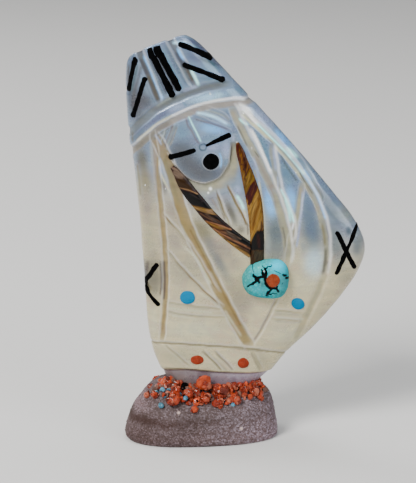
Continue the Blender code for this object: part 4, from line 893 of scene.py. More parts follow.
def figureShape(across, up):
    front, back = figure["frontColumns"], figure["backColumns"]
    turns = np.linspace(0, 1, figure["fineSteps"])
    fine = math.pi * (1 - turns)
    steps = lengthAlong(skinAt(fine, np.full(len(fine), figure["spacedAt"])))
    even = np.interp(turns, steps / steps[-1], fine)  # angles at even steps over the front
    border = front / (front + back)
    angle = np.where(across <= border, np.interp(across / border, turns, even),
                     -np.interp((1 - across) / (1 - border), turns, even))
    steps = lengthAlong(skinAt(np.full(len(turns), math.pi / 2), turns))
    v = np.interp(up, steps / steps[-1], turns)
    place, normal = skinAt(angle, v), skinNormal(angle, v)
    x, z = place[:, 0] / unit, (place[:, 2] - figure["footZ"]) / unit
    isFront = np.sin(angle) > -1e-6
    found = carve(x, z, frontCuts, True)
    for key, values in carve(x, z, backCuts, False).items():
        found[key][~isFront] = values[~isFront]
    foot = found["foot"]
    found["depth"] += cutValues["uneven"] * (1 + ripple(place / mm, cutValues["unevenScale"], 3)) * (1 - foot)
    perDepth, more = cutValues["deepest"]
    depth = np.minimum(found["depth"], np.abs(place[:, 1]) / mm * perDepth + more)
    wall = easeIn(found["depth"], *cutValues["wallDepths"]) * (1 - foot)
    place = place - normal * (depth * mm)[:, None]
    colour = tintAt(x, z, found["carved"], found["floor"], isFront)
    plain = laidOver(nacrePaints["fog"], colour, nacreValues["behind"])
    colour = np.where(isFront[:, None], colour, plain)
    # the foot's lavender tone, with painted shade under the hem
    leftFoot, rightFoot = (np.array(screen(*tint)) for tint in nacreValues["foot"])
    colour = laidOver(colour, laidOver(leftFoot, rightFoot, easeIn(x, *nacreValues["footTurns"])), foot)
    return place, {"nacre": colour, "carved": found["carved"], "shine": found["shine"], "wall": wall}


def makeShellMaterial():
    material, tree, shader, place = startMaterial("motherOfPearl", {
        "IOR": 1.5, "Coat Roughness": 0.08, "Subsurface Radius": (1.0, 0.85, 0.7), "Subsurface Scale": 0.0008,
        "Subsurface Weight": 0.12, "Specular IOR Level": 0.35})
    carved, shine, wall = (attribute(tree, name) for name in ("carved", "shine", "wall"))
    # painted sheen: the nacre's play of colour, laid into the base colour as fixed pink, blue and green tints
    layers = noise(tree, stretched(tree, place, (260, 260, 420), (0, 0.5, 0)), 1.0, 4.0, Distortion=1.6)
    play = ramp(tree, layers, [(0.28, (1.0, 0.88, 0.9)), (0.4, (0.9, 0.9, 0.97)), (0.5, (0.94, 1.0, 0.99)),
                               (0.6, (1.08, 1.08, 1.02)), (0.74, (0.96, 0.94, 1.0))])
    colour = glaze(tree, 0.75, attribute(tree, "nacre", "Color"), play)
    growth = noise(tree, stretched(tree, place, (110, 110, 1500), (0, 0.42, 0)), 1.0, 4.0, Distortion=0.8)
    lines = ramp(tree, growth, [(0.3, (0.82,) * 3), (0.55, (1.0,) * 3), (0.7, (1.1,) * 3)])
    colour = glaze(tree, 0.45, colour, lines)
    dirt = times(tree, spread(tree, noise(tree, place, 700.0, 3.0), 0.48, 0.7, 0.0, 0.5), carved)
    colour = glaze(tree, dirt, colour, (0.86, 0.8, 0.7))
    # painted highlight: the shine mask lightens the colour along the cuts' walls and round the mouth
    colour = mixColour(tree, times(tree, shine, 0.55), colour, screen(222, 228, 226))
    polish = useGroup(tree, polishGroup, {"Place": place, "Scale": 260.0, "Low": 0.2, "High": 0.36})
    scratches = bump(tree, noise(tree, place, 1600.0, 3.0), 0.08, 0.00004)
    feedAll(tree, shader, {
        "Base Color": colour,
        "Roughness": sums(tree, "ADD", polish["Roughness"], times(tree, wall, 0.22)),
        "Metallic": spread(tree, carved, 0.0, 1.0, 0.22, 0.0),
        "Coat Weight": spread(tree, wall, 0.0, 1.0, 0.55, 0.08),
        "Normal": bump(tree, polish["Height"], 0.3, 0.0003, scratches),
    })
    return material


shellMaterial = makeShellMaterial()
maiden = shapedGrid("maiden", figure["frontColumns"] + figure["backColumns"], figure["rows"], figureShape)
dress(maiden, shellMaterial, "shell", "shell_maiden")
print("maiden carved:", len(maiden.data.polygons), "faces")

# jet strips: two ends on the drawing and the widths there in mm

jetStrips = {
    "headdress_centre_left": ((-14.3, 96.3), (-7.6, 84.0), 0.92, 1.14),
    "headdress_centre_right": ((-12.5, 97.0), (-5.8, 85.7), 1.12, 0.98),
    "headdress_left_upper": ((-17.9, 94.2), (-20.1, 85.2), 0.84, 0.7),
    "headdress_left_lower": ((-15.3, 89.6), (-19.0, 78.0), 0.74, 0.76),
    "headdress_right_upper": ((-6.3, 98.1), (3.1, 94.1), 0.8, 0.84),
    "headdress_right_lower": ((-5.2, 93.1), (6.5, 88.4), 0.84, 0.8),
    "left_eye": ((-9.1, 67.1), (-1.5, 69.4), 0.92, 0.72),
    "right_eye": ((1.2, 70.5), (8.1, 73.8), 0.5, 0.94),
    "right_cross_long_strip": ((37.5, 46.0), (43.2, 34.7), 0.78, 0.74),
    "right_cross_upper_arm": ((40.5, 40.1), (43.6, 47.3), 0.68, 0.66),
    "right_cross_lower_arm": ((40.5, 40.1), (37.6, 33.4), 0.72, 0.66),
    "left_cross_upper_arm": ((-17.6, 27.8), (-12.3, 36.6), 0.7, 0.84),
    "left_cross_lower_arm": ((-17.6, 30.0), (-11.8, 24.2), 0.56, 0.84),
}
jetValues = {
    "along": 44, "around": 18,
    "rise": 0.055, "sink": 0.5, "edge": -0.03, "shoulder": 0.9, "endPower": 2.4, "shortest": 0.05,
    "wobble": 0.042, "wobbleScales": (1.9, 5.0), "uneven": 0.25, "unevenScale": 3.0,  # hand-cut edge and face
    "steps": 25, "tries": 4,  # for the strips that look straight
}


def seenHeight(spots):  # how high drawing points look to the camera, in grid units
    place = onFront(spots)[0] / unit
    return place[:, 2] + place[:, 1] * math.tan(math.radians(viewValues["elevation"]))


def jetShape(ends, seed, straight):  # a straight strip looks so to the camera, though the skin under it bends
    start, end, startWidth, endWidth = ends
    v = jetValues
    a, b = np.array(start), np.array(end)
    length = np.linalg.norm(b - a) * unitMm
    way = (b - a) / np.linalg.norm(b - a)
    across = np.array([-way[1], way[0]])
    steps = np.linspace(0, 1, v["steps"])
    middle = a + (b - a) * steps[:, None]
    first, last = seenHeight(middle[[0, -1]])
    for _try in range(v["tries"] if straight else 0):
        middle[:, 1] += first + (last - first) * steps - seenHeight(middle)
    rise, sink, shoulder, edge = v["rise"], v["sink"], v["shoulder"], v["edge"]
    outline = np.array([
        (0, -sink), (-1, -sink), (-1, edge), (-shoulder, rise * 0.6), (-0.5, rise), (0, rise * 1.1),
        (0.5, rise), (shoulder, rise * 0.6), (1, edge), (1, -sink), (0, -sink)])

    def shape(around, along):
        t = along * length
        half = (startWidth + (endWidth - startWidth) * along) / 2
        toEnd = np.minimum(t, length - t) / np.maximum(half, v["shortest"])
        rounded = np.sqrt(np.maximum(0, 1 - (1 - np.minimum(toEnd, 1)) ** v["endPower"]))
        turns = np.linspace(0, 1, len(outline))
        s, h = (np.interp(around, turns, outline[:, i]) for i in (0, 1))
        broad, fine = v["wobbleScales"]
        bothEdges = np.stack([t, np.sign(s) * 9.0], axis=1)  # the two edges wobble apart from each other
        wobble = ripple(bothEdges, broad, seed) + 0.5 * ripple(t[:, None], fine, seed + 50)
        side = s * rounded * (half + v["wobble"] * wobble)
        line = np.stack([np.interp(along, steps, middle[:, i]) for i in (0, 1)], axis=1)
        spots = line + across * (side / unitMm)[:, None]
        place, normal = onFront(spots)
        h = np.where(h > 0, h * (1 + v["uneven"] * ripple(spots, v["unevenScale"], seed)), h)
        return place + normal * (h * mm)[:, None], {}

    return shape


def makeJetMaterial():
    material, tree, shader, place = startMaterial("jet", {"IOR": 1.5, "Specular IOR Level": 0.02})
    grain = useGroup(tree, grainGroup, {"Place": place, "Scale": 3200.0})
    polish = useGroup(tree, polishGroup, {"Place": place, "Scale": 700.0, "Low": 0.28, "High": 0.48})
    feedAll(tree, shader, {
        "Base Color": mixColour(tree, grain["Tone"], (0.0004, 0.0004, 0.0005), (0.0016, 0.0016, 0.0018)),
        "Roughness": polish["Roughness"],
        "Normal": bump(tree, grain["Height"], 0.25, 0.00004),
    })
    return material


jetMaterial = makeJetMaterial()
for number, (node, ends) in enumerate(jetStrips.items()):
    strip = shapedGrid(node + "_inlay", jetValues["around"], jetValues["along"],
                       jetShape(ends, 11 + number, node.startswith("headdress")))
    dress(strip, jetMaterial, "jet", node)
print("jet strips set:", len(jetStrips))

# round inlays: stone, centre, half width, half height and rise in mm, tilt in degrees, squareness (2: round)

roundInlays = {
    "mouth": ("jet", (2.65, 66.1), 1.26, 1.28, 0.07, 0, 2.0),
    "left_turquoise_dot": ("turquoise", (-3.9, 27.0), 1.15, 1.08, 0.24, -6, 2.1),
    "right_turquoise_dot": ("turquoise", (27.0, 25.2), 1.14, 0.92, 0.22, 36, 1.9),
    "left_coral_dot": ("coral", (-1.3, 8.4), 1.02, 0.78, 0.26, -4, 2.2),
    "right_coral_dot": ("coral", (11.8, 7.4), 0.92, 0.86, 0.26, 12, 2.1),
}
dotValues = {"sink": 0.4, "wobble": 0.035, "wobbleScale": 2.4, "domePower": 2.6, "plugWidth": 0.9,
             "sides": 48, "rings": 24}


def roundShape(centre, normal, across, upward, sizes, seed):  # a flat dome above the skin and a plug below it
    halfWide, halfHigh, rise, tilt, power = sizes
    v = dotValues

    def shape(around, up):
        turn = around * 2 * math.pi
        lift = np.sin((up * 2 - 1) * math.pi / 2)  # from the plug's foot to the dome's top
        ring = np.sqrt(np.maximum(0, 1 - np.abs(lift) ** v["domePower"]))
        ring = np.where(up < 0.5, np.where(up > 0, np.maximum(ring, v["plugWidth"]), 0.0), ring)
        c, s = np.cos(turn), np.sin(turn)
        ring = ring * (1 + v["wobble"] * ripple(np.stack([c, s], axis=1), v["wobbleScale"], seed))
        side, high = turned(
            signedPower(c, 2 / power) * halfWide * ring, signedPower(s, 2 / power) * halfHigh * ring, tilt)
        out = np.where(lift > 0, lift * rise, lift * v["sink"])
        return centre + (side[:, None] * across + high[:, None] * upward + out[:, None] * normal) * mm, {}

    return shape


def frameAt(x, z):  # a point of the skin with its normal, its level side and its upward side
    place, normal = onFront([(x, z)])
    across = np.cross([0, 0, 1], -normal[0])
    across = across / np.linalg.norm(across)
    return place[0], normal[0], across, np.cross(across, normal[0])


def makeTurquoiseMaterial():
    material, tree, shader, place = startMaterial("turquoise", {
        "IOR": 1.5, "Specular IOR Level": 0.0, "Coat Roughness": 0.07, "Subsurface Weight": 0.04,
        "Subsurface Radius": (0.3, 0.8, 1.0), "Subsurface Scale": 0.0004})
    matrix, grainy = attribute(tree, "matrix"), attribute(tree, "grainy")
    shade = ramp(tree, noise(tree, place, 650.0, 3.0), [(0.3, (0.8, 0.86, 0.86)), (0.7, (1.0, 1.0, 1.0))])
    colour = glaze(tree, 0.8, attribute(tree, "tint", "Color"), shade)
    speck = useGroup(tree, grainGroup, {"Place": place, "Scale": 2600.0})
    colour = mixColour(tree, times(tree, speck["Mask"], grainy), colour, (0.3, 0.85, 0.82))
    dark = times(tree, spread(tree, speck["Tone"], 0.72, 0.8, 0.0, 1.6), grainy)
    colour = mixColour(tree, dark, colour, (0.02, 0.2, 0.22))
    colour = mixColour(tree, matrix, colour, (0.0008, 0.0012, 0.0012))
    polish = useGroup(tree, polishGroup, {"Place": place, "Scale": 500.0, "Low": 0.2, "High": 0.34})
    sunk = bump(tree, sums(tree, "SUBTRACT", 1.0, matrix), 0.5, 0.00006)
    feedAll(tree, shader, {
        "Base Color": colour,
        "Roughness": sums(tree, "ADD", polish["Roughness"], times(tree, matrix, 0.2)),
        "Coat Weight": attribute(tree, "gloss"),
        "Normal": bump(tree, polish["Height"], 0.25, 0.0001, sunk),
    })
    return material


def makeCoralMaterial():
    material, tree, shader, place = startMaterial("coral", {
        "IOR": 1.5, "Specular IOR Level": 0.1, "Coat Roughness": 0.1, "Subsurface Weight": 0.08,
        "Subsurface Radius": (1.0, 0.2, 0.08), "Subsurface Scale": 0.0004})
    shade = ramp(tree, noise(tree, place, 900.0, 4.0), [(0.28, (0.62, 0.52, 0.5)), (0.55, (1.0, 1.0, 1.0)),
                                                        (0.78, (1.25, 1.3, 1.2))])
    colour = glaze(tree, 1.0, attribute(tree, "tint", "Color"), shade)
    grain = useGroup(tree, grainGroup, {"Place": place, "Scale": 3000.0})
    colour = mixColour(tree, times(tree, grain["Mask"], 0.08), colour, (0.5, 0.2, 0.12))
    polish = useGroup(tree, polishGroup, {"Place": place, "Scale": 800.0, "Low": 0.22, "High": 0.5})
    feedAll(tree, shader, {
        "Base Color": colour,
        "Roughness": polish["Roughness"],
        "Coat Weight": attribute(tree, "gloss"),
        "Normal": bump(tree, grain["Height"], 0.35, 0.00005),
    })
    return material


turquoiseMaterial = makeTurquoiseMaterial()
coralMaterial = makeCoralMaterial()
inlayMaterials = {"jet": jetMaterial, "turquoise": turquoiseMaterial, "coral": coralMaterial}
inlayTints = {"jet": (0.002, 0.002, 0.002), "turquoise": (0.0002, 0.165, 0.33), "coral": (0.24, 0.024, 0.006)}
inlayGloss = {"jet": 0.02, "turquoise": 0.0, "coral": 0.08}


def tintPiece(piece, tints, gloss):  # one tint for the whole piece, or one for each point
    count = len(piece.data.vertices)
    addMask(piece.data, "tint", np.broadcast_to(tints, (count, 3)))
    addMask(piece.data, "gloss", np.full(count, gloss))


for number, (node, (slot, centre, *sizes)) in enumerate(roundInlays.items()):
    shape = roundShape(*frameAt(*centre), sizes, 31 + number)
    dot = shapedGrid(node + "_inlay", dotValues["sides"], dotValues["rings"], shape)
    tintPiece(dot, inlayTints[slot], inlayGloss[slot])
    dress(dot, inlayMaterials[slot], slot, node)
print("round inlays set:", len(roundInlays))

# braids: x, z and width in mm along the line; locks laid over each other, with soft edge in mm and outline;
# single fibres with half width in mm and strength; endX is where the other braid hides this one

braidPaints = {  # as shown on the screen
    "smoke": (118, 100, 86), "dusk": (58, 50, 52), "bark": (56, 40, 24), "black": (5, 4, 4),
    "honey": (122, 95, 46), "tan": (150, 124, 88), "wine": (38, 13, 4), "amber": (120, 78, 16),
    "russet": (100, 66, 48), "gold": (152, 122, 56), "copper": (152, 112, 80), "umber": (52, 27, 8),
    "rust": (86, 46, 10), "olive": (118, 89, 26), "garnet": (70, 26, 4), "moss": (60, 54, 42),
    "straw": (158, 124, 40),
}
leftBraid = {
    "line": [(-8.1, 64.5, 0.6), (-7.4, 63.6, 0.95), (-6.5, 62.4, 1.3), (-5.7, 61.1, 1.65), (-4.5, 59.2, 1.95),
        (-2.9, 56.9, 2.1), (-0.7, 54.3, 2.18), (1.4, 51.6, 2.18), (3.7, 49.1, 2.18), (6, 46.9, 2.2),
        (8.6, 44.7, 2.22), (11.3, 42.6, 2.25), (14.4, 40.4, 2.3)],
    "ground": "umber", "fibre": -22, "endX": 13.7,
    "locks": [
        ("smoke", 0.26, [(-8.1, 64.5), (-6.4, 64.2), (-4.5, 62), (-3.7, 60.8), (-5.4, 61.1), (-6.7, 61.5),
            (-7.8, 62.5)]),
        ("dusk", 0.23, [(-4.8, 61.7), (-3.4, 60.8), (-1.2, 58.3), (-1.5, 57.4), (-3.4, 59.1), (-4.8, 60.5)]),
        ("bark", 0.19, [(-7, 61.4), (-4.8, 61.4), (-3.7, 60), (-2, 58.3), (-3.2, 58.1), (-4.8, 58.8),
            (-6.3, 59.1)]),
        ("black", 0.11, [(-5.6, 58.2), (-4.3, 57.9), (-2.6, 57.4), (-1.1, 57.2), (-0.1, 56.2), (1.3, 54.6),
            (2.9, 52.9), (1.3, 53.1), (-0.7, 53.6), (-2.5, 53.9), (-4, 55.4), (-5, 56.8)]),
        ("honey", 0.1, [(-3.4, 54.1), (-2.1, 53.8), (-0.4, 53.4), (1.3, 53), (3.1, 52.8), (4.3, 51.2),
            (3.2, 51.3), (1.3, 51.6), (-0.4, 52.2), (-1.8, 52.6)]),
        ("tan", 0.15, [(1.3, 52.6), (2.9, 52.5), (4, 51.5), (2.9, 51.5), (1.3, 51.9)]),
        ("wine", 0.1, [(-1.6, 52.5), (-0.1, 52), (1.5, 51.6), (3.5, 51.2), (4.6, 50.8), (6.3, 49.3),
            (7.7, 47.9), (6.3, 48.3), (4.3, 49), (2.4, 49.4), (0.7, 50), (-0.7, 51.4)]),
        ("amber", 0.13, [(1, 49.6), (3.5, 48.7), (5.7, 47.9), (7.9, 47), (6.8, 46.7), (4.9, 46.9),
            (3.5, 47.4), (2.1, 48.4)]),
        ("russet", 0.16, [(2.9, 47.6), (5.2, 46.8), (7.7, 47), (9, 46.2), (9.6, 45), (7.7, 45.3), (5.7, 46),
            (4, 46.7)]),
        ("black", 0.16, [(7.7, 47.4), (9.6, 46.4), (11.6, 44.9), (13.8, 43.6), (13.8, 41.7), (11.8, 42.8),
            (9.9, 44), (7.9, 45), (6.8, 46.1)]),
        ("russet", 0.13, [(3.8, 46.9), (5.7, 45.6), (7.9, 44.7), (10.2, 43.6), (12.4, 42.5), (13.8, 41.6),
            (13.8, 41), (11.6, 42.2), (9.1, 43.3), (6.5, 44.6), (4.6, 45.9)]),
        ("wine", 0.13, [(5.7, 44.9), (8.5, 43.5), (11.3, 42.2), (13.8, 41.1), (13.8, 39.7), (11.8, 41),
            (9.6, 42.4), (7.4, 43.6)]),
        ("gold", 0.15, [(3.2, 47.3), (4.9, 45.8), (6.8, 44.4), (9.1, 42.9), (11.3, 41.4), (13.8, 39.8),
            (13.8, 38.3), (10.7, 40.6), (7.9, 42.6), (5.2, 44.9)]),
    ],
    "fibres": [
        ("smoke", 0.3, 0.45, [(5.2, 48.2), (7.5, 46.2), (9.8, 43.9)]),
        ("smoke", 0.22, 0.4, [(1.5, 51.6), (3.9, 49.4), (6, 47.9)]),
        ("tan", 0.1, 0.9, [(-6.2, 58.9), (-4.8, 58.6), (-3.4, 58.2), (-1.5, 57.3)]),
        ("wine", 0.1, 0.9, [(-5.9, 58.5), (-4.3, 58.1), (-2.6, 57.5)]),
        ("dusk", 0.11, 0.6, [(-2.9, 57.1), (-1.2, 56.2), (0.2, 54.9)]),
        ("gold", 0.1, 0.8, [(-2.9, 53.8), (-0.7, 53), (1.5, 52.3)]),
        ("tan", 0.08, 0.7, [(-2.1, 53.3), (0.2, 52.4), (2.4, 51.8)]),
        ("russet", 0.11, 0.9, [(-0.4, 51.6), (1.3, 50.6), (3.2, 49.6)]),
        ("russet", 0.08, 0.7, [(1.5, 51.1), (3.5, 50.3), (5.4, 49)]),
        ("black", 0.13, 0.8, [(2.1, 51.2), (4, 50.4), (5.7, 49.3)]),
        ("copper", 0.11, 1, [(1.3, 49.4), (3.2, 48.9), (5.4, 48.2), (7.9, 47.1)]),
        ("wine", 0.08, 0.9, [(3.2, 49.2), (5.4, 48.5), (7.4, 47.6)]),
        ("gold", 0.11, 0.7, [(2.7, 48.4), (4.6, 47.7), (6.3, 47.3)]),
        ("umber", 0.1, 0.9, [(3.2, 47.5), (4.9, 46.9), (7.1, 46.6)]),
        ("copper", 0.1, 0.9, [(3.5, 47.1), (5.4, 45.9), (7.7, 44.6)]),
        ("smoke", 0.1, 0.7, [(7.4, 46.3), (9, 45.5), (11, 44.2)]),
        ("copper", 0.08, 0.8, [(7.7, 44.5), (9.9, 43.5), (12.7, 42.1)]),
        ("black", 0.08, 0.9, [(6.3, 44.4), (8.8, 43.4), (11.3, 42.1), (13.7, 40.9)]),
        ("russet", 0.08, 0.8, [(8.5, 43.2), (10.7, 42.1), (13.2, 40.7)]),
        ("black", 0.1, 0.9, [(9.6, 42.1), (11.6, 41.1), (13.7, 39.7)]),
        ("amber", 0.1, 0.8, [(4.9, 45), (6.8, 43.7), (9.1, 42.2)]),
        ("tan", 0.1, 0.7, [(10.7, 41), (12.4, 39.9), (13.7, 39)]),
    ],
}
rightBraid = {
    "line": [(9.9, 71.4, 0.45), (10.2, 70.4, 0.85), (10.7, 68.7, 1.27), (11.6, 65.9, 1.5), (12.5, 63, 1.88),
        (13.5, 59.4, 2.2), (14.4, 55.8, 2.42), (15, 51.7, 2.4), (15.3, 48, 2.3), (15.5, 44.2, 2.2),
        (15.5, 40, 2.16), (15.5, 34.8, 2.12)],
    "ground": "amber", "fibre": 70, "endX": 99,
    "locks": [
        ("rust", 0.15, [(9.2, 71.3), (10.9, 71.3), (11.6, 69.9), (12.1, 68.7), (12.8, 66.8), (13.4, 64.9),
            (12.8, 63.7), (12, 62.6), (11.5, 63.7), (11, 65.1), (10.2, 66), (9.7, 67.9)]),
        ("amber", 0.13, [(10.6, 65.4), (11.3, 65.1), (12, 62.8), (12.6, 60.9), (12.2, 58.3), (11.5, 60),
            (10.9, 62.3)]),
        ("olive", 0.13, [(12.3, 62.3), (13.5, 64), (14.4, 62.6), (15, 61), (13.7, 60.3), (12.9, 58.9),
            (12.2, 57.2), (11.9, 59.5)]),
        ("garnet", 0.1, [(13.6, 60.1), (14.8, 60.7), (15.5, 59.4), (15.2, 58.2), (14.4, 56.6), (13.9, 54.9),
            (13.3, 53.8), (12.5, 55.2), (12.3, 56.9), (12.9, 58.3)]),
        ("gold", 0.13, [(12.1, 55.8), (13.3, 53.8), (13.9, 54.9), (14.5, 56.6), (15.4, 58.2), (15.9, 56.9),
            (16.5, 53.8), (17, 49.2), (17.1, 47.2), (16, 47), (14.8, 45.5), (13.8, 43.2), (13.3, 47.5),
            (12.7, 52.1)]),
        ("black", 0.1, [(13.8, 43.4), (14.4, 45.1), (15.4, 46.5), (16.3, 46.8), (17.4, 46.6), (17.7, 41),
            (13.5, 41)]),
        ("moss", 0.11, [(14.4, 41), (17.7, 41), (17.7, 37.7), (15.2, 37.1), (14.5, 38.8)]),
        ("bark", 0.13, [(13.5, 41.4), (14.5, 41.1), (14.6, 38.8), (15.5, 36.5), (13.6, 34.8)]),
    ],
    "fibres": [
        ("garnet", 0.15, 1, [(9.9, 70.6), (10, 68.8), (10.4, 66.5)]),
        ("amber", 0.13, 0.9, [(10.5, 69.6), (10.8, 67.9), (11.3, 65.7)]),
        ("russet", 0.08, 0.8, [(11, 70.3), (11.6, 68.6), (12.3, 66.8)]),
        ("umber", 0.13, 0.9, [(11.6, 67.4), (12.1, 65.4), (12.2, 63.1)]),
        ("umber", 0.11, 0.9, [(13.2, 64.5), (12.7, 63.6), (12.4, 62.6)]),
        ("amber", 0.13, 0.9, [(12.7, 66.5), (12.8, 65.1), (12.4, 63.7)]),
        ("honey", 0.11, 0.8, [(11.2, 63.4), (11.7, 61.2), (12, 59.2)]),
        ("umber", 0.08, 0.7, [(11.6, 64.5), (12, 62.6), (12.2, 60.6)]),
        ("gold", 0.1, 0.8, [(13.3, 63), (13, 61.6), (12.5, 59.9)]),
        ("umber", 0.08, 0.6, [(14, 63.1), (13.8, 61.7), (13.2, 60.4)]),
        ("rust", 0.13, 0.9, [(14.7, 60.1), (14.4, 58.6), (13.9, 57.2)]),
        ("black", 0.1, 0.6, [(13.9, 59.8), (13.3, 58.3), (12.8, 56.9)]),
        ("umber", 0.08, 0.7, [(15.2, 58.1), (14.4, 56.5), (13.8, 54.6)]),
        ("straw", 0.13, 0.9, [(15.3, 57.3), (14.5, 55.5), (13.8, 53.2), (13.5, 50.9)]),
        ("amber", 0.26, 1, [(15.9, 55.8), (15.8, 53.8), (15.1, 51.8), (14.6, 49.5), (14.2, 46.9)]),
        ("olive", 0.11, 0.8, [(16.5, 54.6), (16.6, 52), (16.2, 50.1)]),
        ("straw", 0.15, 0.9, [(16.3, 51.8), (15.7, 49.5), (14.9, 47.2), (14.2, 45.2)]),
        ("amber", 0.1, 0.8, [(13.5, 50.1), (13.6, 48), (13.7, 46)]),
        ("honey", 0.11, 0.8, [(14.3, 54.6), (13.9, 52.3), (13.6, 50.1)]),
        ("umber", 0.18, 0.9, [(16.7, 49), (16.8, 47.8), (16.5, 46.9)]),
        ("umber", 0.26, 0.8, [(15.7, 45.5), (15.9, 43.7), (16, 42)]),
    ],
}
braidValues = {
    "along": 300, "around": 72,
    "proud": 0.46, "sink": 0.75, "under": 0.02, "power": 0.8,  # the power squares the dome's section
    "corners": (0.06, 0.8, 0.86),  # shares of the way round: past the left side, the front and the right side
    "fullWidth": 1.9, "endSoft": (-0.1, 0.2), "ahead": 0.3,
    "groove": 0.035, "grooveHalf": 0.09, "silk": 0.012, "silkScale": 6.0,
    "fray": 0.16, "frayScales": (9.0, 21.0), "haze": 0.012, "fibrePower": 2.5,
    "fibreSteps": 12, "lineSteps": 80,
}


def braidColour(v, spots):  # colour, depth of the grooves, and the spots turned to the fibres' way
    b = braidValues
    tilt = math.radians(v["fibre"])
    way = np.array([math.cos(tilt), math.sin(tilt)])
    flat = spots * unitMm
    over, along = flat @ np.array([-way[1], way[0]]), flat @ way
    broad, fine = b["frayScales"]
    fray = b["fray"] * (ripple(over[:, None], broad, 61) + 0.6 * ripple(over[:, None], fine, 62))
    moved = flat + fray[:, None] * way
    paints = {name: np.array(screen(*tint, b["haze"])) for name, tint in braidPaints.items()}
    colour = np.tile(paints[v["ground"]], (len(spots), 1))
    groove = np.zeros(len(spots))
    for tint, soft, outline in v["locks"]:
        share, far = insideSoftly(np.array(outline) * unitMm, moved, soft)
        colour = laidOver(colour, paints[tint], share)
        groove = np.maximum(groove * (1 - share), np.exp(-((far / b["grooveHalf"]) ** 2)))
    for tint, half, strength, points in v["fibres"]:
        s, _along, _total = nearLine(smoothLine(points, b["fibreSteps"]) * unitMm, moved)
        share = strength * np.exp(-((np.abs(s) / half) ** b["fibrePower"]))
        colour = laidOver(colour, paints[tint], share)
    return colour, groove, over, along


def braidShape(v):
    b = braidValues
    line = smoothLine(v["line"], b["lineSteps"])
    steps = lengthAlong(line[:, :2])
    corners = (0, *b["corners"], 1)
    _start, left, right, _below, _end = corners

    def shape(around, along):
        t, step = along * steps[-1], b["ahead"]
        x, z, width = (np.interp(t, steps, line[:, i]) for i in range(3))
        ahead = np.stack([np.interp(t + step, steps, line[:, i]) - np.interp(t - step, steps, line[:, i])
                          for i in (0, 1)], axis=1)
        ahead = ahead / np.linalg.norm(ahead, axis=1, keepdims=True)
        across = np.stack([-ahead[:, 1], ahead[:, 0]], axis=1)
        front = (around >= left) & (around <= right)
        turn = math.pi * (1 - (around - left) / (right - left))
        s = np.where(front, signedPower(np.cos(turn), b["power"]),
                     np.interp(around, corners, [-1, -1, 1, 1, -1]))
        dome = np.where(front, np.abs(np.sin(turn)) ** b["power"], 0)
        down = np.interp(around, corners, [1, 0, 0, 1, 1])
        spots = np.stack([x, z], axis=1) + across * (s * width / 2 / unitMm)[:, None]
        paint, groove, overFibre, alongFibre = braidColour(v, spots)
        full = np.clip(width / b["fullWidth"], 0, 1)
        silk = b["silk"] * ripple(overFibre[:, None], b["silkScale"], 63)
        lift = dome * (b["proud"] * full - b["groove"] * groove + silk)
        lift = lift - b["under"] - down * b["sink"]
        before, past = b["endSoft"]
        lift -= b["sink"] * easeIn(spots[:, 0], v["endX"] + before, v["endX"] + past) * (1 - down)
        place, normal = onFront(spots)
        masks = {"lockPaint": paint, "overFibre": overFibre, "alongFibre": alongFibre}
        return place + normal * (lift * mm)[:, None], masks

    return shape


def makeBraidMaterial():
    material, tree, shader, _place = startMaterial("silkyStone", {
        "IOR": 1.5, "Specular IOR Level": 0.12, "Coat Weight": 0.1, "Coat Roughness": 0.1})
    spot = put(tree, "CombineXYZ", {
        0: attribute(tree, "overFibre"), 1: attribute(tree, "alongFibre")}).outputs[0]
    silk = noise(tree, stretched(tree, spot, (3.2, 0.35, 1)), 1.0, 4.0, Roughness=0.65, Distortion=0.15)
    bands = noise(tree, stretched(tree, spot, (1.3, 0.2, 1)), 1.0, 2.0)
    threads = noise(tree, stretched(tree, spot, (7.0, 0.6, 1)), 1.0, 3.0)
    colour = attribute(tree, "lockPaint", "Color")
    # lighter and darker streaks along the fibres: partly the stone's own banding, partly its silky sheen
    # painted in
    for factor, pattern, stops in (
        (0.8, silk, [(0.34, (0.5, 0.42, 0.36)), (0.5, (1.0, 0.98, 0.95)), (0.64, (1.35, 1.32, 1.25))]),
        (0.5, bands, [(0.35, (0.65, 0.6, 0.55)), (0.6, (1.15, 1.15, 1.15))]),
        (0.6, threads, [(0.42, (0.8, 0.78, 0.75)), (0.62, (1.4, 1.4, 1.35))]),
    ):
        colour = glaze(tree, factor, colour, ramp(tree, pattern, stops))
    feedAll(tree, shader, {
        "Base Color": colour,
        "Roughness": spread(tree, silk, 0.3, 0.7, 0.42, 0.26),
        "Normal": bump(tree, silk, 0.25, 0.00004),
    })
    return material


braidMaterial = makeBraidMaterial()
for node, values in (("left_braid", leftBraid), ("right_braid", rightBraid)):
    braid = shapedGrid(node + "_twisted", braidValues["around"], braidValues["along"], braidShape(values))
    dress(braid, braidMaterial, "tiger_stone", node)
print("braids twisted")

# the nugget, its black matrix and its coral dot, on a local drawing about the nugget's middle

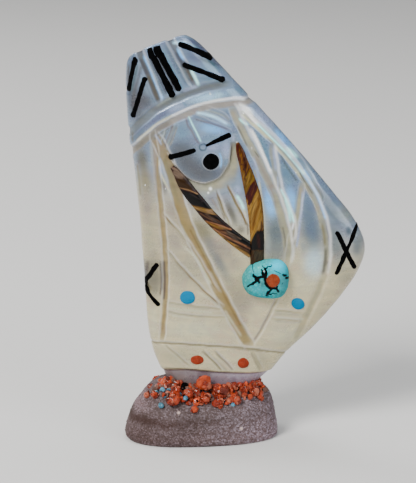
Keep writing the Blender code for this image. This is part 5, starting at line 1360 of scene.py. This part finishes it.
nugget = {
    "centre": (18.2, 32.9),
    "outline": [(-6.88, -0.4), (-6.71, 0.81), (-6.15, 1.95), (-5.07, 3.48), (-3.75, 4.21), (-2.85, 4.7),
        (-0.79, 5.29), (1.61, 5.46), (4.0, 5.04), (5.47, 3.65), (6.09, 1.98), (6.23, -0.4), (5.78, -3.12),
        (4.42, -5.14), (2.2, -5.82), (-0.51, -5.67), (-3.16, -5.19), (-5.39, -4.14), (-6.57, -2.22)],
    "proud": 2.1, "sides": 260, "rings": 90, "outlineSteps": 520, "spreadOut": 1.6,
    "uneven": 0.05, "unevenScale": 0.45, "hollow": 0.1, "hollowAt": -3.9, "hollowHalf": 0.8,
    "profile": [(0.0, -0.38), (0.985, -0.38), (1.0, 0.0), (0.995, 0.2), (0.975, 0.4), (0.93, 0.6),
                (0.86, 0.75), (0.76, 0.86), (0.6, 0.945), (0.4, 0.985), (0.2, 1.0), (0.0, 1.0)],
    "matrixDepth": 0.03, "matrixSoft": 0.035, "blotSoft": 0.04,
    "warp": 0.09, "warpScale": 2.6, "stretchFrom": 3, "stretch": 7,  # the veins' top is drawn out upward
    "paint": (0.01, 0.31, 0.345), "gloss": 0.12, "grainy": 0.18, "speckPaint": 0.6,
    "zones": [  # paint, middle, half sizes, strength; the two bright blue zones at the upper right paint a highlight
        ((0.03, 0.24, 0.23), (-5.83, 0.87), (1.6, 3.8), 0.9),
        ((0.022, 0.42, 0.42), (-2.13, 4.12), (1.9, 1.8), 0.8),
        ((0.055, 0.36, 0.34), (0.44, 5.89), (1.7, 1.0), 0.8),
        ((0.006, 0.62, 0.86), (3.4, 4.2), (2.6, 1.8), 0.95),
        ((0.006, 0.44, 0.58), (4.7, 2.8), (1.4, 1.2), 0.8),
        ((0.048, 0.22, 0.25), (4.72, -0.31), (1.4, 2.4), 0.8),
        ((0.034, 0.16, 0.175), (-1.39, -0.6), (1.0, 1.4), 0.9),
        ((0.012, 0.34, 0.4), (-2.84, -2.37), (2.0, 1.0), 0.7),
        ((0.028, 0.18, 0.18), (3.58, -3.55), (2.0, 1.0), 0.8),
        ((0.03, 0.18, 0.16), (-5.41, -2.96), (1.4, 0.8), 0.7),
    ],
}
matrixLines = [  # points, and half widths in mm at the two ends
    ([(-1.27, 5.06), (-0.84, 4.47), (-0.53, 3.94)], 0.08, 0.16),
    ([(0.13, 4.71), (-0.13, 4.18), (-0.45, 3.82)], 0.1, 0.16),
    ([(-0.53, 4.06), (-0.53, 3.53), (-0.3, 2.82), (-0.3, 2.05)], 0.21, 0.22),
    ([(-1.61, 3.44), (-1.33, 2.94), (-1.16, 2.35), (-0.87, 1.76)], 0.15, 0.26),
    ([(-0.33, 2.17), (-0.62, 1.58), (-1.1, 1.34)], 0.24, 0.24),
    ([(-0.3, 1.7), (-0.45, 0.72), (-0.47, -0.01), (-0.22, -0.75), (0.21, -1.31), (0.87, -1.66)], 0.22, 0.3),
    ([(-0.87, 1.46), (-1.47, 1.31), (-2.13, 1.11)], 0.26, 0.22),
    ([(-3.84, 1.88), (-3.67, 1.52), (-3.21, 1.17)], 0.12, 0.24),
    ([(-3.15, -0.13), (-3.78, -0.6), (-4.35, -0.87), (-4.81, -1.16), (-5.21, -1.58)], 0.24, 0.13),
    ([(-2.36, 0.11), (-2.16, -0.43)], 0.2, 0.12),
    ([(1.58, -1.9), (2.26, -2.02), (2.78, -1.72)], 0.28, 0.2),
    ([(1.47, -2.02), (0.98, -2.67), (0.55, -3.23), (-0.02, -3.7)], 0.24, 0.2),
    ([(2.61, -2.02), (2.95, -2.61), (3.26, -3.08)], 0.24, 0.14),
    ([(0.21, -3.49), (0.64, -3.85), (1.07, -3.91)], 0.18, 0.12),
    ([(-0.13, -4.2), (0.38, -4.35)], 0.15, 0.12),
    ([(1.01, -3.91), (1.64, -3.61), (2.21, -3.67), (2.83, -3.85)], 0.09, 0.05),
    ([(4.32, 1.82), (4.77, 1.55), (5.23, 1.34)], 0.08, 0.19),
    ([(5.46, 0.64), (6.08, 0.49)], 0.2, 0.2),
    ([(2.04, 3.06), (2.72, 2.7), (3.75, 2.17)], 0.07, 0.04),
    ([(0.55, 4.71), (0.89, 4.83), (1.35, 5.18)], 0.13, 0.09),
    ([(1.07, 5.83), (1.24, 5.3)], 0.06, 0.08),
    ([(4.6, -0.43), (4.03, -0.9)], 0.04, 0.07),
    ([(-3.84, 4.83), (-3.98, 3.65), (-3.87, 2.52)], 0.06, 0.05),
]
matrixBlot = [(-3.61, 1.52), (-2.7, 1.34), (-1.67, 1.49), (-1.39, 1.11), (-1.87, 0.75), (-2.13, 0.22),
              (-2.18, -0.25), (-2.58, -0.13), (-3.1, -0.13), (-3.5, -0.37), (-3.47, 0.28), (-3.47, 0.87)]
matrixSpeck = ((-0.84, 2.88), 0.13)  # a pale grain left in the matrix, with its radius in mm
nuggetDot = {"at": (1.69, 0.28), "seat": 0.985, "halfWide": 1.05, "halfHigh": 1.12, "rise": 0.24,
             "tint": (0.24, 0.034, 0.006), "gloss": 0.16}


def nuggetFrame():  # the skin's point behind the nugget, with the level ways out of the skin and along it
    place, normal = onFront([nugget["centre"]])
    normal = normal[0] * (1, 1, 0)
    normal = normal / np.linalg.norm(normal)
    return place[0], normal, np.array([-normal[1], normal[0], 0])


def matrixMask(x, z):  # where the black veins lie, and where the pale grain in them does
    v = nugget
    flat = np.stack([x, z], axis=1)
    drawnOut = v["stretch"] * np.maximum(0, z - v["stretchFrom"])
    sideways, upward = (ripple(flat, v["warpScale"], seed) for seed in (21, 22))
    warped = (flat + np.stack([sideways, upward + drawnOut], axis=1) * v["warp"]) * unitMm
    matrix, _far = insideSoftly(np.array(matrixBlot) * unitMm, warped, v["blotSoft"])
    for points, startHalf, endHalf in matrixLines:
        s, along, total = nearLine(smoothLine(points, 10) * unitMm, warped)
        half = startHalf + (endHalf - startHalf) * along / total
        matrix = np.maximum(matrix, easeIn(half - np.abs(s), -v["matrixSoft"], v["matrixSoft"]))
    (speckX, speckZ), radius = matrixSpeck
    speck = np.exp(-((((x - speckX) ** 2 + (z - speckZ) ** 2) * unitMm**2 / radius**2) ** 2))
    return matrix, speck


def nuggetShape(around, up):
    v = nugget
    place, normal, across = nuggetFrame()
    loop = smoothLine(v["outline"], v["outlineSteps"], closed=True)
    edge = np.stack([np.interp(around, np.linspace(0, 1, len(loop)), loop[:, i]) for i in (0, 1)], axis=1)
    profile = np.array(v["profile"])
    steps = lengthAlong(profile * (v["spreadOut"], 1))
    scale, out = (np.interp(up, steps / steps[-1], profile[:, i]) for i in (0, 1))
    out = out * v["proud"]
    flat = edge * scale[:, None]
    x, z = flat[:, 0], flat[:, 1]
    hollow = v["hollow"] * np.exp(-((x - v["hollowAt"]) / v["hollowHalf"]) ** 2) * easeIn(z, -1, 2)
    out = out + np.where(out > 0.2, v["uneven"] * ripple(flat, v["unevenScale"], 8) - hollow, 0)
    matrix, speck = matrixMask(x, z)
    matrix = np.where(out > 0.1, matrix * (1 - speck), 0)
    colour = np.tile(v["paint"], (len(x), 1))
    for paint, (cx, cz), (rx, rz), strength in v["zones"]:
        share = strength * np.exp(-((((x - cx) / rx) ** 2 + ((z - cz) / rz) ** 2) ** 1.5))
        colour = laidOver(colour, np.array(paint), share)
    colour = laidOver(colour, v["speckPaint"], speck)
    grainy = v["grainy"] * (1 - 0.7 * easeIn(x + z * 0.4, 1.5, 4.5))  # fewer grains towards the upper right corner, where the highlight is painted
    lift = normal * ((out - matrix * v["matrixDepth"]) * mm)[:, None]
    place = place + across * (x * unit)[:, None] + np.array([0, 0, 1]) * (z * unit)[:, None] + lift
    return place, {"tint": colour, "matrix": matrix, "gloss": np.full(len(x), v["gloss"]), "grainy": grainy}


nuggetPiece = shapedGrid("nugget", nugget["sides"], nugget["rings"], nuggetShape)
dress(nuggetPiece, turquoiseMaterial, "turquoise", "turquoise_nugget")


def makeNuggetDot():
    place, normal, across = nuggetFrame()
    x, z = nuggetDot["at"]
    out = nugget["proud"] * nuggetDot["seat"] * mm
    centre = place + across * x * unit + np.array([0, 0, z * unit]) + normal * out
    sizes = (nuggetDot["halfWide"], nuggetDot["halfHigh"], nuggetDot["rise"], 0, 2)
    shape = roundShape(centre, normal, across, np.array([0, 0, 1]), sizes, 77)
    made = shapedGrid("nugget_coral_dot_inlay", dotValues["sides"], dotValues["rings"], shape)
    tintPiece(made, nuggetDot["tint"], nuggetDot["gloss"])
    dress(made, coralMaterial, "coral", "nugget_coral_dot")


makeNuggetDot()
print("nugget set")

# the stone

base = {
    "width": 0.025, "depth": 0.0144, "height": 0.0086, "ledge": 0.0006, "turn": 7, "power": 2.6,
    "columns": 300, "rows": 170,
    "profile": [  # height share, sideways and front-to-back spread, from the underside's middle to the top's
        (0, 0.9, 0.86), (0, 0.9, 0.86), (0.012, 0.945, 0.925), (0.045, 0.98, 0.975), (0.1, 1, 1),
        (0.28, 0.945, 0.975), (0.45, 0.87, 0.92), (0.6, 0.77, 0.83), (0.68, 0.7, 0.73), (0.74, 0.64, 0.61),
        (0.82, 0.53, 0.43), (0.9, 0.38, 0.24), (0.97, 0.17, 0.08), (1, 0, 0), (1, 0, 0),
    ],
    "underside": 0.06, "seat": 0.08,  # shares of the rows that close the underside and the top
    "heightWeight": 8.6, "spreadWeight": 5,  # how many rows the profile's rises and its spreads get
    "grit": 0.045, "gritScales": (6.5, 13), "waves": 0.12, "waveScale": 0.55, "inward": 0.9,
    "leftRise": 0.0011,  # how far the seat's rim rises at the left
}


def footSize():
    left, right, share = (part[0] for part in sectionAt(np.zeros(1)))
    return (left[0] + right[0]) / 2 * unit, (right[0] - left[0]) / 2 * unit, share


def baseShape(around, up):
    v = base
    middle, halfWidth, share = footSize()
    turn = around * 2 * math.pi
    c, s = np.cos(turn), np.sin(turn)
    px, py = signedPower(c, 2 / v["power"]), signedPower(s, 2 / v["power"])
    wideX, wideY = turned(px * v["width"] / 2, py * v["depth"] / 2, v["turn"])
    seatX = middle + px * (halfWidth + v["ledge"])
    seatY = py * (np.where(s < 0, figure["frontDepth"], figure["backDepth"]) * share + v["ledge"])
    profile = np.array(v["profile"])
    shown = profile[1:-1]
    steps = np.hypot(np.diff(shown[:, 0]) * v["heightWeight"], np.diff(shown[:, 2]) * v["spreadWeight"])
    shownShare = 1 - v["underside"] - v["seat"]
    marks = np.concatenate([
        [0, v["underside"]], v["underside"] + shownShare * np.cumsum(steps) / steps.sum(), [1.0]])
    height, sideSpread, frontSpread = (np.interp(up, marks, profile[:, i]) for i in range(3))
    shrink = np.clip(np.minimum(up / v["underside"], (1 - up) / v["seat"]), 0, 1)
    x = (seatX + (wideX - seatX) * sideSpread) * shrink + middle * (1 - shrink)
    y = (seatY + (wideY - seatY) * frontSpread) * shrink
    rim = easeIn(height, 0.72, 0.96) * shrink * easeIn(-c, 0.35, 0.95) * v["leftRise"]
    place = np.stack([x, y, height * v["height"] + rim], axis=1)
    side = easeIn(height, 0.004, 0.05) * easeIn(-height, -1.0, -0.93)  # underside and seat stay smooth
    spots = place / mm
    coarse, fine = v["gritScales"]
    rough = ripple(spots, v["waveScale"], 41) * v["waves"]
    rough += (np.abs(ripple(spots, coarse, 42, 40)) - 0.6) * v["grit"]
    rough += ripple(spots, fine, 43, 60) * v["grit"] * 0.6
    outward = np.stack([x - middle * 0.3, y * 1.6, (place[:, 2] - 0.003) * 0.8], axis=1)
    outward = outward / np.maximum(np.linalg.norm(outward, axis=1, keepdims=True), 1e-9)
    return place + outward * ((rough - v["waves"] * v["inward"]) * side * mm)[:, None], {}


def makeStoneMaterial():
    material, tree, shader, place = startMaterial("purpleStone", {"IOR": 1.5, "Specular IOR Level": 0.25})
    grain = useGroup(tree, grainGroup, {"Place": place, "Scale": 4600.0})
    small = useGroup(tree, grainGroup, {"Place": place, "Scale": 9000.0})
    clouds = noise(tree, place, 260.0, 4.0)
    across = put(tree, "SeparateXYZ", {0: place}).outputs
    colour = ramp(tree, grain["Tone"], [(0.0, screen(106, 92, 90)), (0.35, screen(122, 109, 108)),
                                        (0.7, screen(134, 122, 124)), (1.0, screen(154, 144, 148))])
    tiny = ramp(tree, small["Tone"], [
        (0.0, (0.72, 0.7, 0.7)), (0.6, (1.0, 1.0, 1.0)), (1.0, (1.2, 1.2, 1.2))])
    colour = glaze(tree, 0.7, colour, tiny)
    leftward = spread(tree, across["X"], -0.009, 0.004, 1.0, 0.0)
    wavy = sums(tree, "ADD", across["Z"], times(tree, clouds, 0.0016))  # heights with an uneven edge
    # painted shade: a dark brown band on the left, under the edge where the top turns into the front
    band = times(tree, spread(tree, wavy, 0.0038, 0.0046, 0.0, 1.0),
                 spread(tree, wavy, 0.005, 0.0058, 1.0, 0.0))
    colour = mixColour(tree, times(tree, band, times(tree, leftward, 0.75)), colour, screen(88, 70, 62))
    low = times(tree, leftward, spread(tree, across["Z"], 0.001, 0.006, 0.55, 0.15))
    lit = spread(tree, across["X"], 0.001, 0.013, 0.0, 1.0)
    paler = times(tree, spread(tree, across["X"], -0.006, 0.0, 0.0, 1.0),
                  spread(tree, wavy, 0.002, 0.0052, 1.0, 0.0))
    shoulder = times(tree, spread(tree, across["X"], -0.0105, -0.0075, 1.0, 0.0),
                     spread(tree, wavy, 0.0056, 0.0066, 0.0, 1.0))
    for part, tone in ((low, (0.86, 0.66, 0.6)), (lit, (1.85, 1.85, 2.0)), (paler, (1.35, 1.32, 1.34)),
                       (shoulder, (1.7, 1.6, 1.7))):
        colour = glaze(tree, part, colour, tone)
    colour = glaze(tree, 0.7, colour,
                   ramp(tree, clouds, [(0.35, (0.8, 0.77, 0.76)), (0.65, (1.08, 1.08, 1.1))]))
    fleck = put(tree, "TexVoronoi", {"Vector": place, "Scale": 300.0, "Randomness": 1.0}).outputs["Distance"]
    colour = mixColour(tree, spread(tree, fleck, 0.05, 0.11, 0.6, 0.0), colour, screen(206, 198, 194))
    rough = bump(tree, small["Height"], 0.4, 0.00006)
    feedAll(tree, shader, {
        "Base Color": colour,
        "Roughness": spread(tree, grain["Tone"], 0.0, 1.0, 0.62, 0.9),
        "Normal": bump(tree, grain["Height"], 0.45, 0.00009, rough),
    })
    return material


stoneMaterial = makeStoneMaterial()
stone = shapedGrid("stone", base["columns"], base["rows"], baseShape)
dress(stone, stoneMaterial, "stone", "stone_base")
print("stone rubbed:", len(stone.data.polygons), "faces")

# chips and crumbs glued round the foot

chipValues = {
    "finer": 3, "facets": 9, "facetReach": (0.66, 1.0), "soft": 26.0, "farthest": 1.18, "gloss": 0.3,
    "core": 0.92, "pits": 0.03, "finePits": 0.04, "pitScale": 6.0,
    "bits": 12, "bitSize": (0.26, 0.6), "bitStretch": (0.55, 1.25), "bitsOut": 0.98, "bitsIn": 0.55,
    "bitTones": (0.7, 1.2),
    "shifts": {  # places that differ a little from the boxes: across, back and up, in mm
        "turquoise_chip_01": (-0.2, 1.0, 1.5), "turquoise_chip_02": (-1.7, 0.7, 1.5),
        "turquoise_chip_03": (-0.3, 0.4, 0.4), "coral_chip_01": (0.4, -0.3, -0.5),
        "coral_chip_07": (0.5, -0.2, 0.7), "coral_chip_08": (1.2, -0.2, 0.6),
        "coral_chip_09": (1.0, -0.3, -0.5), "coral_chip_12": (-1.9, 0.9, 1.5),
        "coral_chip_13": (-0.6, 0.4, 0.6), "coral_chip_20": (-0.8, 0.2, 0.7),
    },
    "larger": {"coral_chip_08": 1.3, "coral_chip_09": 1.2, "coral_chip_11": 1.2},  # as shares of the box
    "size": 1.02,  # of all the others
}
chipTints = {
    "coral": [(0.3, 0.032, 0.009), (0.23, 0.021, 0.007), (0.4, 0.052, 0.014), (0.16, 0.016, 0.006),
              (0.3, 0.048, 0.02), (0.1, 0.012, 0.006), (0.38, 0.1, 0.055)],
    "turquoise": [(0.07, 0.22, 0.34), (0.1, 0.27, 0.38), (0.06, 0.15, 0.2)],
    "jet": [(0.002, 0.002, 0.002)],
}


def lumpShape(directions, radii, seed, pits):  # a broken lump: blunt facets at random, with small pits
    v = chipValues
    rng = np.random.default_rng(seed)
    facets = rng.normal(size=(v["facets"], 3))
    facets /= np.linalg.norm(facets, axis=1, keepdims=True)
    reach = rng.uniform(*v["facetReach"], v["facets"])
    towards = np.maximum(directions @ facets.T, 0.02) / reach
    far = np.minimum((towards ** v["soft"]).sum(1) ** (-1 / v["soft"]), v["farthest"])
    far = far * (1 + pits * ripple(directions, v["pitScale"], seed, 16))
    return directions * far[:, None] * radii


def roundLump(finer):  # the round form that all lumps of a piece are made from, and its points
    lump = bmesh.new()
    bmesh.ops.create_icosphere(lump, subdivisions=finer, radius=1.0)
    return lump, np.array([v.co[:] for v in lump.verts])


def addLump(bm, lump, places):  # copies the round lump into the mesh with its vertices moved
    for vert, place in zip(lump.verts, places):
        vert.co = place
    mesh = bpy.data.meshes.new("lump")
    lump.to_mesh(mesh)
    bm.from_mesh(mesh)
    bpy.data.meshes.remove(mesh)


def finishLumps(name, bm, lump, tints, slot, *nodes):  # a tint for each lump
    made = finishPiece(name, bm, smooth=False)
    tintPiece(made, np.repeat(tints, len(lump.verts), axis=0), chipValues["gloss"])
    lump.free()
    dress(made, inlayMaterials[slot], slot, *nodes)


def makeChip(name, centre, radii, slot, seed, *nodes):  # a broken lump with smaller bits stuck all over it
    v = chipValues
    rng = np.random.default_rng(seed)
    lump, directions = roundLump(v["finer"])
    bm = bmesh.new()
    addLump(bm, lump, lumpShape(directions, radii * v["core"], seed, v["pits"]) + centre)
    paints = chipTints[slot]
    tints = [np.array(paints[seed % len(paints)])]
    for number in range(v["bits"]):
        way = rng.normal(size=3)
        way /= np.linalg.norm(way)
        size = rng.uniform(*v["bitSize"])
        spot = centre + way * radii * (v["bitsOut"] - size * v["bitsIn"])
        shards = radii * size * rng.uniform(*v["bitStretch"], 3)
        addLump(bm, lump, lumpShape(directions, shards, seed * 31 + number, v["finePits"]) + spot)
        tints.append(np.array(paints[rng.integers(len(paints))]) * rng.uniform(*v["bitTones"]))
    finishLumps(name, bm, lump, tints, slot, *nodes)


for number, node in enumerate(sorted(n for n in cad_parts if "_chip_" in n)):
    low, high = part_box(node)
    centre, radii = (np.array(low) + np.array(high)) / 2, (np.array(high) - np.array(low)) / 2
    centre = centre + np.array(chipValues["shifts"].get(node, (0, 0, 0))) * mm
    radii = radii * chipValues["larger"].get(node, chipValues["size"])
    makeChip(node + "_broken", centre, radii, node.split("_")[0], 100 + number, node)
print("chips broken")

crumbs = {  # how many, radius range in mm, middle angle and spread in degrees, and a seed, of each kind
    "coral": (520, (0.14, 0.5), -92, 46, 501),
    "turquoise": (46, (0.13, 0.34), -120, 20, 502),
    "jet": (26, (0.12, 0.26), -104, 34, 503),
}
dullCrumbs = {"coral": [(0.16, 0.08, 0.06), (0.1, 0.055, 0.045)]}
crumbValues = {
    "finer": 2, "stretch": (0.6, 1.35), "tones": (0.7, 1.15), "sink": 0.22,
    "front": (-145, -14), "back": (25, 120), "behind": 0.16,  # angles in degrees, and the share behind
    "outer": 0.8, "crowd": 1.5, "shoulder": (0.43, 0.42), "above": 0.02,
}


def stoneSurface():
    bm = bmesh.new()
    bm.from_mesh(stone.data)
    tree = BVHTree.FromBMesh(bm)
    bm.free()
    return tree


def crumbPlace(rng, tree, towards, spreadOut):  # a point of the stone between foot and shoulder
    v = crumbValues
    middle, halfWidth, share = footSize()
    turn = math.radians(np.clip(rng.normal(towards, spreadOut), *v["front"]))
    if rng.uniform() < v["behind"]:
        turn = math.radians(rng.uniform(*v["back"]))
    c, s = math.cos(turn), math.sin(turn)
    depth = (figure["frontDepth"] if s < 0 else figure["backDepth"]) * share
    power = 2 / figure["power"]
    foot = Vector((middle + signedPower(c, power) * halfWidth, signedPower(s, power) * depth))
    shoulder = Vector((c * base["width"] * v["shoulder"][0], s * base["depth"] * v["shoulder"][1]))
    spot = foot.lerp(shoulder, v["outer"] * rng.beta(1.0, v["crowd"]))
    hit, normal, _face, _far = tree.ray_cast(Vector((spot.x, spot.y, v["above"])), Vector((0, 0, -1)))
    return hit, normal


def makeCrumbs(slot, count, sizes, towards, spreadOut, seed, tree):
    v = crumbValues
    rng = np.random.default_rng(seed)
    lump, directions = roundLump(v["finer"])
    bm = bmesh.new()
    paints = chipTints[slot] + dullCrumbs.get(slot, [])
    tints = []
    for number in range(count):
        hit, normal = crumbPlace(rng, tree, towards, spreadOut)
        radius = rng.uniform(*sizes) * mm
        centre = np.array(hit) + np.array(normal) * radius * (1 - 2 * v["sink"])
        radii = radius * rng.uniform(*v["stretch"], 3)
        addLump(bm, lump, lumpShape(directions, radii, seed * 7 + number, chipValues["finePits"]) + centre)
        tints.append(np.array(paints[number % len(paints)]) * rng.uniform(*v["tones"]))
    finishLumps(slot + "_crumbs", bm, lump, tints, slot)


surface = stoneSurface()
for slot, values in crumbs.items():
    makeCrumbs(slot, *values, surface)
print("crumbs strewn")


def makeFloor():
    bm = bmesh.new()
    bmesh.ops.create_grid(bm, x_segments=1, y_segments=1, size=floorValues["size"] / 2)
    mesh = bpy.data.meshes.new("floor")
    bm.to_mesh(mesh)
    bm.free()
    floor = linkObject("floor", mesh)
    material, tree, shader, place = startMaterial("paper", {"Roughness": 0.85})
    pale = floorValues["colour"]
    darker = tuple(c * floorValues["darker"] for c in pale)
    clouds = noise(tree, place, floorValues["clouds"], 2.0)
    feed(tree, shader.inputs["Base Color"], mixColour(tree, clouds, darker, pale))
    mesh.materials.append(material)
    floor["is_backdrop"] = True


makeFloor()

bpy.context.view_layer.update()
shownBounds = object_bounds()
sizes = {"cad": [list(corner) for corner in cadBounds], "visual": [list(corner) for corner in shownBounds]}
